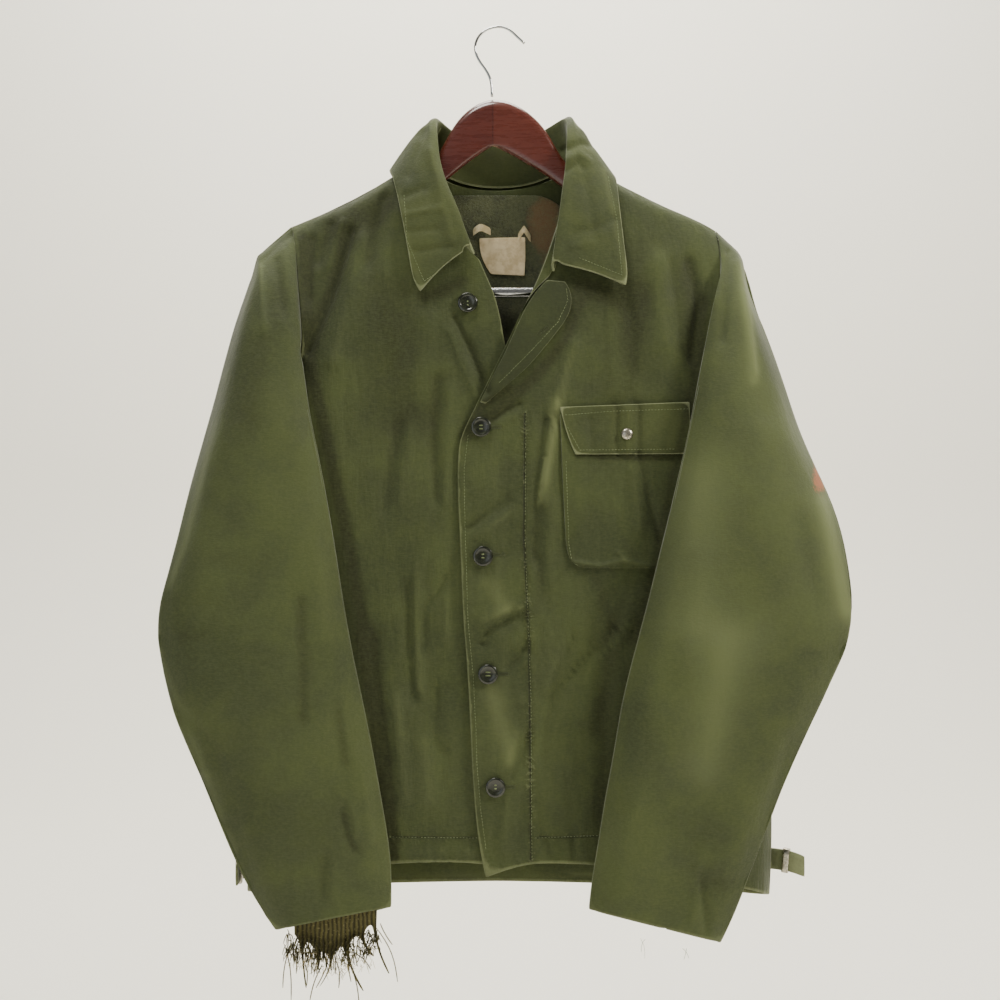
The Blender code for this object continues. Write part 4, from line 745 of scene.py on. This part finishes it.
# Painted shade in the creases and beside the body at the armholes, painted light along ridges and across the
# left sleeve, and faint broad patches
sleeveShadeAndLight = rowsOf(
    (((240, 420), (200, 600)), 46, -0.1),
    (((301, 600), (303, 720)), 9, -0.35),
    (((338, 700), (346, 760)), 9, -0.35),
    (((344, 815), (354, 850)), 6, -0.4),
    (((324, 858), (322, 900)), 6, -0.3),
    (((250, 690), (300, 840)), 44, 0.08),
    (((262, 262), (262, 330)), 6, 0.4),
    (((216, 420), (186, 540), (168, 590)), 7, 0.5),
    (((158, 616), (162, 660), (206, 776), (236, 850)), 6, 0.3),
    (((170, 600), (190, 640)), 18, -0.25),
    (((300, 236), (303, 300), (312, 370)), 4, -1.1),
    (((312, 370), (350, 560), (384, 800)), 5, 0.3),
    (((744, 270), (754, 380)), 7, 0.5),
    (((740, 300), (780, 430), (830, 600)), 60, 0.3),
    (((700, 480), (690, 620)), 50, 0.5),
    (((740, 640), (700, 760)), 50, 0.35),
    (((270, 300), (245, 410)), 40, -0.5),
    (((824, 500), (846, 610)), 9, 0.5),
    (((700, 870), (740, 900)), 26, -0.3),
    (((640, 740), (620, 860)), 30, -0.06),
    (((716, 240), (708, 300), (700, 350)), 6, -0.8),
)


rightTop = {
    "node": "sleeve_right_top", "name": "right_sleeve_top", "way": -1,
    "material": sleeveCloth, "flat": (0.24, 0.68), "area": 0.135,
}
rightUnder = {
    "node": "sleeve_right_under", "name": "right_sleeve_under", "way": 1,
    "material": sleeveCloth, "flat": (0.10, 0.68), "area": 0.044,
}
leftTop = {
    "node": "sleeve_left_top", "name": "left_sleeve_top", "way": -1,
    "material": sleeveCloth, "flat": (0.26, 0.69), "area": 0.149,
}
leftUnder = {
    "node": "sleeve_left_under", "name": "left_sleeve_under", "way": 1,
    "material": sleeveCloth, "flat": (0.10, 0.69), "area": 0.040,
}


def makeSleeves():
    # Both sleeves, each a top and an under piece, with the pull of the elbow across them.
    made = {}
    for row in (rightTop, rightUnder, leftTop, leftUnder):
        made[row["node"]] = hangCloth(row, (0, row["way"], 0), sleeveFolds, sleeveShadeAndLight, 1.2, 9.1, 1.3)
    return made


collarFolds = rowsOf(
    (((562, 150), (580, 143), (594, 146)), 3.5, -1.7),
    (((564, 160), (580, 154), (590, 160)), 3, 1.1),
    (((566, 170), (578, 162), (584, 168)), 3.5, -1.5),
    (((574, 232), (600, 226), (614, 218)), 4, -1.1),
    (((572, 246), (596, 242)), 3, 0.9),
    (((586, 180), (596, 240)), 7, -0.9),
    (((404, 196), (424, 188)), 4, -1.1),
    (((406, 214), (440, 208)), 3.5, 0.9),
    (((409, 232), (436, 229)), 3.5, -0.9),
    (((414, 252), (452, 246)), 4, -1.0),
    (((430, 150), (442, 200), (452, 240)), 7, 1.0),
    (((424, 132), (408, 176)), 5, -1.0),
)
collarTones = rowsOf(
    (((400, 190), (412, 262), (423, 288)), 5, 0.3),
    (((423, 288), (470, 256)), 4, 0.3),
    (((576, 264), (628, 281)), 4, 0.3),
    (((604, 170), (628, 281)), 5, 0.35),
)


collar = {
    "node": "collar", "name": "turned_down_collar", "levels": 3, "folds": collarFolds, "shadeLightAndWearRows": collarTones,
    "drift": 0.0, "material": trimCloth, "held": "folded", "flat": (0.47, 0.11), "area": 0.045,
}
onFront = {"levels": 3, "folds": frontFolds, "shadeLightAndWearRows": frontShadeLightAndWear, "drift": 1.1}
lapel = {
    "node": "lapel", "name": "turned_back_lapel", **onFront,
    "material": lapelCloth, "held": "folded", "flat": (0.062, 0.13), "area": 0.0037,
}
pocket = {
    "node": "pocket", "name": "chest_pocket", **onFront,
    "material": pocketCloth, "held": "hung", "flat": (0.128, 0.148), "area": 0.018,
}
pocketFlap = {
    "node": "pocket_flap", "name": "chest_pocket_flap", **onFront,
    "material": trimCloth, "held": "hung", "flat": (0.126, 0.051), "area": 0.0056,
}
strap = {
    "levels": 2, "folds": (), "shadeLightAndWearRows": (), "drift": 0.0, "material": trimCloth, "held": "hung",
    "flat": (0.095, 0.02), "area": 0.0019,
}
leftStrap = {"node": "side_strap_left", "name": "left_side_strap", **strap}
rightStrap = {"node": "side_strap_right", "name": "right_side_strap", **strap}


def makeTrim():
    # Collar, lapel, pocket, flap and side straps; lapel, pocket and flap ride the same folds as the front
    # below, the collar has folds of its own and the straps none.
    made = {}
    for row in (collar, lapel, pocket, pocketFlap, leftStrap, rightStrap):
        piece = copyOf(row["node"], row["name"], row["levels"])
        shapeCloth(piece, (0, -1, 0), row["folds"], row["shadeLightAndWearRows"], row["drift"], 1.7)
        dress(piece, row["material"])
        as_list(fronts["front_left"])
        made[row["node"]] = piece
    return made


fronts = makeFronts()
back = makeBack()
sleeves = makeSleeves()
trim = makeTrim()
print("cloth made")


pileLining = {
    "node": "back_lining", "name": "pile_lining", "drift": 0.5, "flat": (0.19, 0.19), "area": 0.0317,
}
neckLabel = {
    "node": "label", "name": "neck_label", "drift": 0.4, "flat": (0.045, 0.037), "area": 0.00156,
}
tapeEnd = {"flat": (0.024, 0.01), "area": 0.00016, "crease": 0.5, "sharp": 80}


def makeNeckSheet(row, material):
    piece = dress(copyOf(row["node"], row["name"], 3), material)
    shapeCloth(piece, (0, -1, 0), (), (), row["drift"], 3.3)
    return piece


def makeTapes():
    for side in ("right", "left"):
        tape = copyOf(f"tape_{side}", f"{side}_tape_end", 3, tapeEnd["crease"], tapeEnd["sharp"])
        dress(tape, tapeCotton)


# Buttons, snap, slides and the hanger, rounded where the real ones are
button = {"levels": 2, "crease": 0.35, "sharp": 40}
snap = {"levels": 2, "crease": 0.3, "sharp": 40}
slide = {"levels": 2, "crease": 0.75, "sharp": 40}
hangerWood = {"levels": 2, "crease": 0.75, "sharp": 38}
hangerWire = {"levels": 1, "crease": 0.9, "sharp": 60}


def makeFittings():
    for k in range(1, 6):
        dress(copyOf(f"button_{k}", f"plastic_button_{k}", **button), plastic)
    dress(copyOf("snap", "pocket_snap", **snap), nickel)
    for side in ("left", "right"):
        dress(copyOf(f"slide_{side}", f"{side}_strap_slide", **slide), nickel)
    dress(copyOf("hanger_wood", "wooden_hanger", **hangerWood), wood)
    dress(copyOf("hanger_hook", "steel_hanger_hook", **hangerWire), steel)
    dress(copyOf("hanger_bar", "trouser_bar", **hangerWire), steel)


# Pile lining, bare label and the two torn tape ends inside the back of the neck
lining = makeNeckSheet(pileLining, pile)
label = makeNeckSheet(neckLabel, labelCotton)
makeTapes()
makeFittings()
print("fittings made")


# Sewing: each row of stitches and each buttonhole by its path of pixels
trees = {
    "right": treeOf(fronts["front_right"]),
    "left": treeOf(fronts["front_left"]),
    "collar": treeOf(trim["collar"]),
    "lapel": treeOf(trim["lapel"]),
    "pocket": treeOf(trim["pocket"]),
    "flap": treeOf(trim["pocket_flap"]),
}
stitch = {"pitch": 3.2, "length": 2.3, "lift": 0.15, "thread": 0.28}
placketEdge = (
    (468, 436), (464, 470), (465, 526), (468, 620), (473, 674), (476, 730), (477, 766), (481, 813),
    (486, 850),
)
sewing = (
    ("right_hem_stitching", "right", ((390, 837), (477, 838))),
    ("left_hem_stitching", "left", ((536, 838), (612, 835))),
    ("placket_stitching", "left", ((526, 412), (525, 540), (529, 640), (531, 700), (532, 862))),
    ("placket_edge_stitching", "left", placketEdge),
    ("collar_stitching_right", "collar", ((404, 196), (407, 240), (424, 281), (470, 252))),
    ("collar_stitching_left", "collar", ((580, 258), (622, 275), (617, 220), (608, 176))),
    ("lapel_stitching", "lapel", ((500, 382), (530, 352), (558, 322), (568, 300), (566, 288))),
    ("pocket_stitching", "pocket", ((566, 462), (569, 545), (572, 562), (582, 568), (660, 569))),
    ("flap_top_stitching", "flap", ((566, 415), (614, 411), (688, 409))),
    ("flap_edge_stitching", "flap", ((568, 428), (580, 450), (676, 449))),
)


def stitchLines(tree, path):
    # Short sunk stitches along a path: each rises a little between its two holes.
    lines = []
    for x, y, ux, uy in walk(path, stitch["pitch"]):
        half = stitch["length"] / 2 * random.uniform(0.85, 1.1)
        side = random.uniform(-0.25, 0.25)
        hole = stitch["lift"] - 0.25
        spots = [(x - ux * half, y - uy * half, hole), (x - uy * side, y + ux * side, stitch["lift"]),
                 (x + ux * half, y + uy * half, hole)]
        found = [onCloth(tree, sx, sy, up) for sx, sy, up in spots]
        if None not in found and max((a - b).length for a, b in zip(found, found[1:])) < 5 * mm:
            lines.append(found)
    return lines


def makeSewing():
    for name, where, path in sewing:
        strands(name, stitchLines(trees[where], path), stitch["thread"], oliveThread)


# Whipped slits to the right of each button, and one in the turned-back lapel
buttonhole = {"pitch": 0.75, "inner": 0.25, "outer": 1.9, "lift": 0.25, "thread": 0.3}
buttonholes = (
    ("left", (490, 427), (502, 427)), ("left", (492, 555), (505, 554)), ("left", (497, 674), (509, 674)),
    ("left", (504, 787), (516, 787)), ("lapel", (538, 334), (548, 327)),
)


def makeButtonholes():
    for k, (where, start, end) in enumerate(buttonholes, 1):
        lines = []
        for x, y, ux, uy in walk((start, end), buttonhole["pitch"]):
            for side in (-1, 1):
                line = []
                for away in (side * buttonhole["inner"], side * buttonhole["outer"]):
                    line.append(onCloth(trees[where], x + uy * away, y - ux * away, buttonhole["lift"]))
                if None not in line:
                    lines.append(line)
        strands(f"buttonhole_{k}", lines, buttonhole["thread"], darkThread)


# Two bars of thread, of three turns each, through each button's holes
buttonSpots = (
    ("right", 467.6, 303), ("left", 481, 427), ("left", 483, 556), ("left", 488, 674), ("left", 495.5, 787),
)
buttonThread = {
    "rise": ((-2.6, 2.9), (0, 3.9), (2.6, 2.9)), "apart": 1.7, "turn": 0.4, "thread": 0.3,
}


def makeButtonThread():
    lines = []
    for where, x, y in buttonSpots:
        for side in (-1, 1):
            for turn in (-1, 0, 1):
                down = side * buttonThread["apart"] + turn * buttonThread["turn"]
                lines.append([onCloth(trees[where], x + a, y + down, up) for a, up in buttonThread["rise"]])
    strands("button_thread", lines, buttonThread["thread"], oliveThread)


makeSewing()
makeButtonholes()
makeButtonThread()
print("sewing made")


# Felled seams: the cloth of one piece folded over the next, where two pieces of a tube meet
felled = {"step": 12 * mm, "widest": 5.5 * mm, "proud": 0.9 * mm, "left": 3}


def seamBetween(first, second, side):
    # Places halfway between two pieces, one each step down, and how wide the seam is there.
    tree = treeOf(second)
    rows = {}
    for vertex in first.data.vertices:
        rows.setdefault(round(vertex.co.z / felled["step"]), []).append(vertex.co)
    line = []
    for row in sorted(rows):
        middle = sum(point.x for point in rows[row]) / len(rows[row])
        near = []
        for point in rows[row]:
            if (point.x - middle) * side > 0:
                found, _, _, away = tree.find_nearest(point, felled["widest"])
                if found is not None:
                    near.append((away, (point + found) / 2))
        if near:
            least = min(away for away, _ in near)
            close = [point for away, point in near if away < least + 0.8 * mm]
            line.append((sum(close, Vector()) / len(close), least / 2 + felled["proud"]))
    return line


def makeSeams():
    # One raised line down each side of each sleeve, and down each side of the body.
    pairs = [(sleeves[f"sleeve_{arm}_under"], sleeves[f"sleeve_{arm}_top"], side, sleeveCloth)
             for arm in ("right", "left") for side in (-1, 1)]
    pairs += [(back, fronts["front_right"], -1, backCloth), (back, fronts["front_left"], 1, backCloth)]
    for count, (first, second, side, material) in enumerate(pairs, 1):
        line = seamBetween(first, second, side)
        runs = [[line[0]]]
        for before, after in zip(line, line[1:]):
            if (after[0] - before[0]).length > 3 * felled["step"]:
                runs.append([])
            runs[-1].append(after)
        for run in runs:
            for _ in range(2):
                run[1:-1] = [((a[0] + b[0] * 2 + c[0]) / 4, (a[1] + b[1] * 2 + c[1]) / 4)
                             for a, b, c in zip(run, run[1:], run[2:])]
        runs = [run for run in runs if len(run) > felled["left"]]
        widths = [[width / mm for _, width in run] for run in runs]
        lines = [[point for point, _ in run] for run in runs]
        strands(f"felled_seam_{count}", lines, 1.0, material, 2, widths)


makeSeams()
print("felled seams made")


# Torn wristlet: the frayed knit, its drawn threads and the fluff along its torn edge, in pixels
wristlet = {
    "left": 290, "wide": 90, "middle": 325, "sag": 8, "depth": 74, "drawn": 0.55, "ends": 300, "end": 0.5,
    "tufts": 230, "tuft": 0.24, "flat": (0.085, 0.05), "area": 0.0033,
}
drawnThreads = (
    (291, 930, 298, 984, 2), (296, 934, 290, 972, -2), (311, 950, 313, 970, 1), (328, 950, 316, 985, -2),
    (333, 948, 322, 972, 1), (349, 940, 364, 990, 3), (352, 940, 356, 966, -1), (357, 938, 375, 954, 2),
    (380, 914, 401, 966, 4), (384, 910, 396, 930, -2), (300, 940, 303, 958, 1), (340, 944, 344, 972, 2),
)
# Frayed ends below the left cuff
cuffThreads = (
    (636, 925, 640, 944, 2), (641, 926, 637, 938, -1), (677, 935, 683, 944, 1), (681, 935, 678, 945, 1),
)


def hanging(x1, y1, x2, y2, depth, sway):
    # A thread that falls from one pixel to another with a bend in it.
    start, end = planePoint(x1, y1), planePoint(x2, y2)
    line = []
    for step in range(9):
        t = step / 8
        point = start.lerp(end, t)
        bend = math.sin(t * math.pi) * sway * mm
        line.append(Vector((point.x + bend, -depth * mm + 3 * mm * math.sin(4 * t), point.z)))
    return line


def sagAt(x):
    # How far the torn edge hangs down at a pixel across it.
    return wristlet["sag"] * math.sin((x - wristlet["left"]) / wristlet["wide"] * math.pi)


def makeWristlet():
    piece = dress(copyOf("torn_wristlet", "torn_knit_wristlet", 2, 0.2), knit)
    under = sleeves["sleeve_right_top"]
    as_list(under)
    drawn = [hanging(x1, y1, x2, y2, wristlet["depth"], sway) for x1, y1, x2, y2, sway in drawnThreads]
    strands("drawn_wristlet_threads", drawn, wristlet["drawn"], drawnYarn)
    ragged = []
    for _ in range(wristlet["ends"]):
        x = random.uniform(293, 382)
        y = random.uniform(914, 936) + sagAt(x)
        x2 = x + random.uniform(-5, 5)
        y2 = y + random.uniform(4, 20) * (1 - abs(x - wristlet["middle"]) / wristlet["wide"])
        ragged.append(hanging(x, y, x2, y2, random.uniform(71, 77), random.uniform(-1.5, 1.5))[::2])
    strands("ragged_knit_ends", ragged, wristlet["end"], knit, 0)
    fluff = []
    for _ in range(wristlet["tufts"]):
        x, y = random.uniform(294, 378), random.uniform(930, 950)
        y += sagAt(x)
        x2, y2 = x + random.uniform(-5, 5), y + random.uniform(-3, 9)
        fluff.append(hanging(x, y, x2, y2, random.uniform(70, 78), random.uniform(-2, 2))[::2])
    strands("wristlet_fluff", fluff, wristlet["tuft"], creamFluff, 0)


def makeLooseThreads():
    lines = [hanging(x1, y1, x2, y2, 72, sway) for x1, y1, x2, y2, sway in cuffThreads]
    strands("loose_cuff_threads", lines, 0.22, oliveThread, 0)


makeWristlet()
makeLooseThreads()
print("frayed edges made")


# Stage, light and camera, in metres and watts
sweep = {"depth": 2.8, "wide": 12.0, "long": 6.0, "low": -1.2, "tall": 6.0, "bend": 0.8, "steps": 12}
lights = (
    {"name": "window", "place": (2.1, -1.1, 0.9), "aim": (0, 0, -0.4), "size": 0.7, "power": 58,
     "tint": "#fffaf0"},
    {"name": "ceiling", "place": (-0.5, -0.75, 1.7), "aim": (0, 0, -0.4), "size": 0.9, "power": 40,
     "tint": "#fffcf4"},
    {"name": "room_fill", "place": (-1.2, -2.4, -0.2), "aim": (0, 0, -0.45), "size": 2.0, "power": 10,
     "tint": "#f4f8ff"},
    {"name": "paper_light", "place": (0, 1.1, 2.6), "aim": (0, 2.9, -0.2), "size": 2.4, "power": 225,
     "tint": "#fffcf2"},
)
room = {"colour": "#e8e6df", "strength": 0.24}
sensor = 36.0


def makeStage():
    # A pale floor that rises far behind the jacket in one soft curve.
    depth, bend = sweep["depth"], sweep["bend"]
    bpy.ops.object.select_all(action="DESELECT")
    bpy.ops.mesh.primitive_plane_add(size=1, location=(0, 0, 0))
    floor = bpy.context.object
    floor.name = "studio_sweep"
    bpy.ops.object.mode_set(mode="EDIT")
    bpy.ops.mesh.select_all(action="SELECT")
    bpy.ops.transform.resize(value=(sweep["wide"], sweep["long"], 1))
    bpy.ops.transform.translate(value=(0, depth - bend - sweep["long"] / 2, sweep["low"]))
    bpy.ops.mesh.select_mode(type="EDGE")
    bpy.ops.mesh.select_all(action="DESELECT")
    bpy.ops.object.mode_set(mode="OBJECT")
    for line in floor.data.edges:
        line.select = all(floor.data.vertices[v].co.y > depth - bend - 0.01 for v in line.vertices)
    bpy.ops.object.mode_set(mode="EDIT")
    turned = 0.0
    for step in range(1, sweep["steps"] + 1):
        angle = step / sweep["steps"] * math.pi / 2
        dy, dz = bend * (math.sin(angle) - math.sin(turned)), bend * (math.cos(turned) - math.cos(angle))
        bpy.ops.mesh.extrude_region_move(TRANSFORM_OT_translate={"value": (0, dy, dz)})
        turned = angle
    bpy.ops.mesh.extrude_region_move(TRANSFORM_OT_translate={"value": (0, 0, sweep["tall"])})
    bpy.ops.object.mode_set(mode="OBJECT")
    bpy.ops.object.shade_smooth()
    made, shader, put, place = newMaterial("pale studio paper")
    drift = put("noise", place, 1000 / 900.0, 2.0, 0.55)
    finishWith(shader, Base_Color=put("mix", drift, colour("#f6f3e8"), colour("#f9f6ec")), Roughness=0.9)
    floor.data.materials.append(made)


def makeLight(name, place, aim, size, power, tint):
    bpy.ops.object.light_add(type="AREA", location=place)
    light = bpy.context.object
    light.name = name
    light.data.shape = "DISK"
    light.data.size = size
    light.data.energy = power
    light.data.color = colour(tint)[:3]
    light.rotation_euler = (Vector(aim) - Vector(place)).to_track_quat("-Z", "Y").to_euler()


def makeCamera():
    camera = bpy.data.cameras.new("camera")
    camera.sensor_width = sensor
    camera.lens = sensor * (seenPlane - eye.y) / (2 * middlePixel * pixel)
    holder = bpy.data.objects.new("camera", camera)
    bpy.context.scene.collection.objects.link(holder)
    holder.location = eye
    holder.rotation_euler = (math.radians(90), 0, 0)
    bpy.context.scene.camera = holder


def makeRoom():
    world = bpy.data.worlds.new("room")
    bpy.context.scene.world = world
    world.use_nodes = True
    background = world.node_tree.nodes["Background"]
    background.inputs["Color"].default_value = colour(room["colour"])
    background.inputs["Strength"].default_value = room["strength"]


makeStage()
for light in lights:
    makeLight(**light)
makeCamera()
makeRoom()
print("stage made")
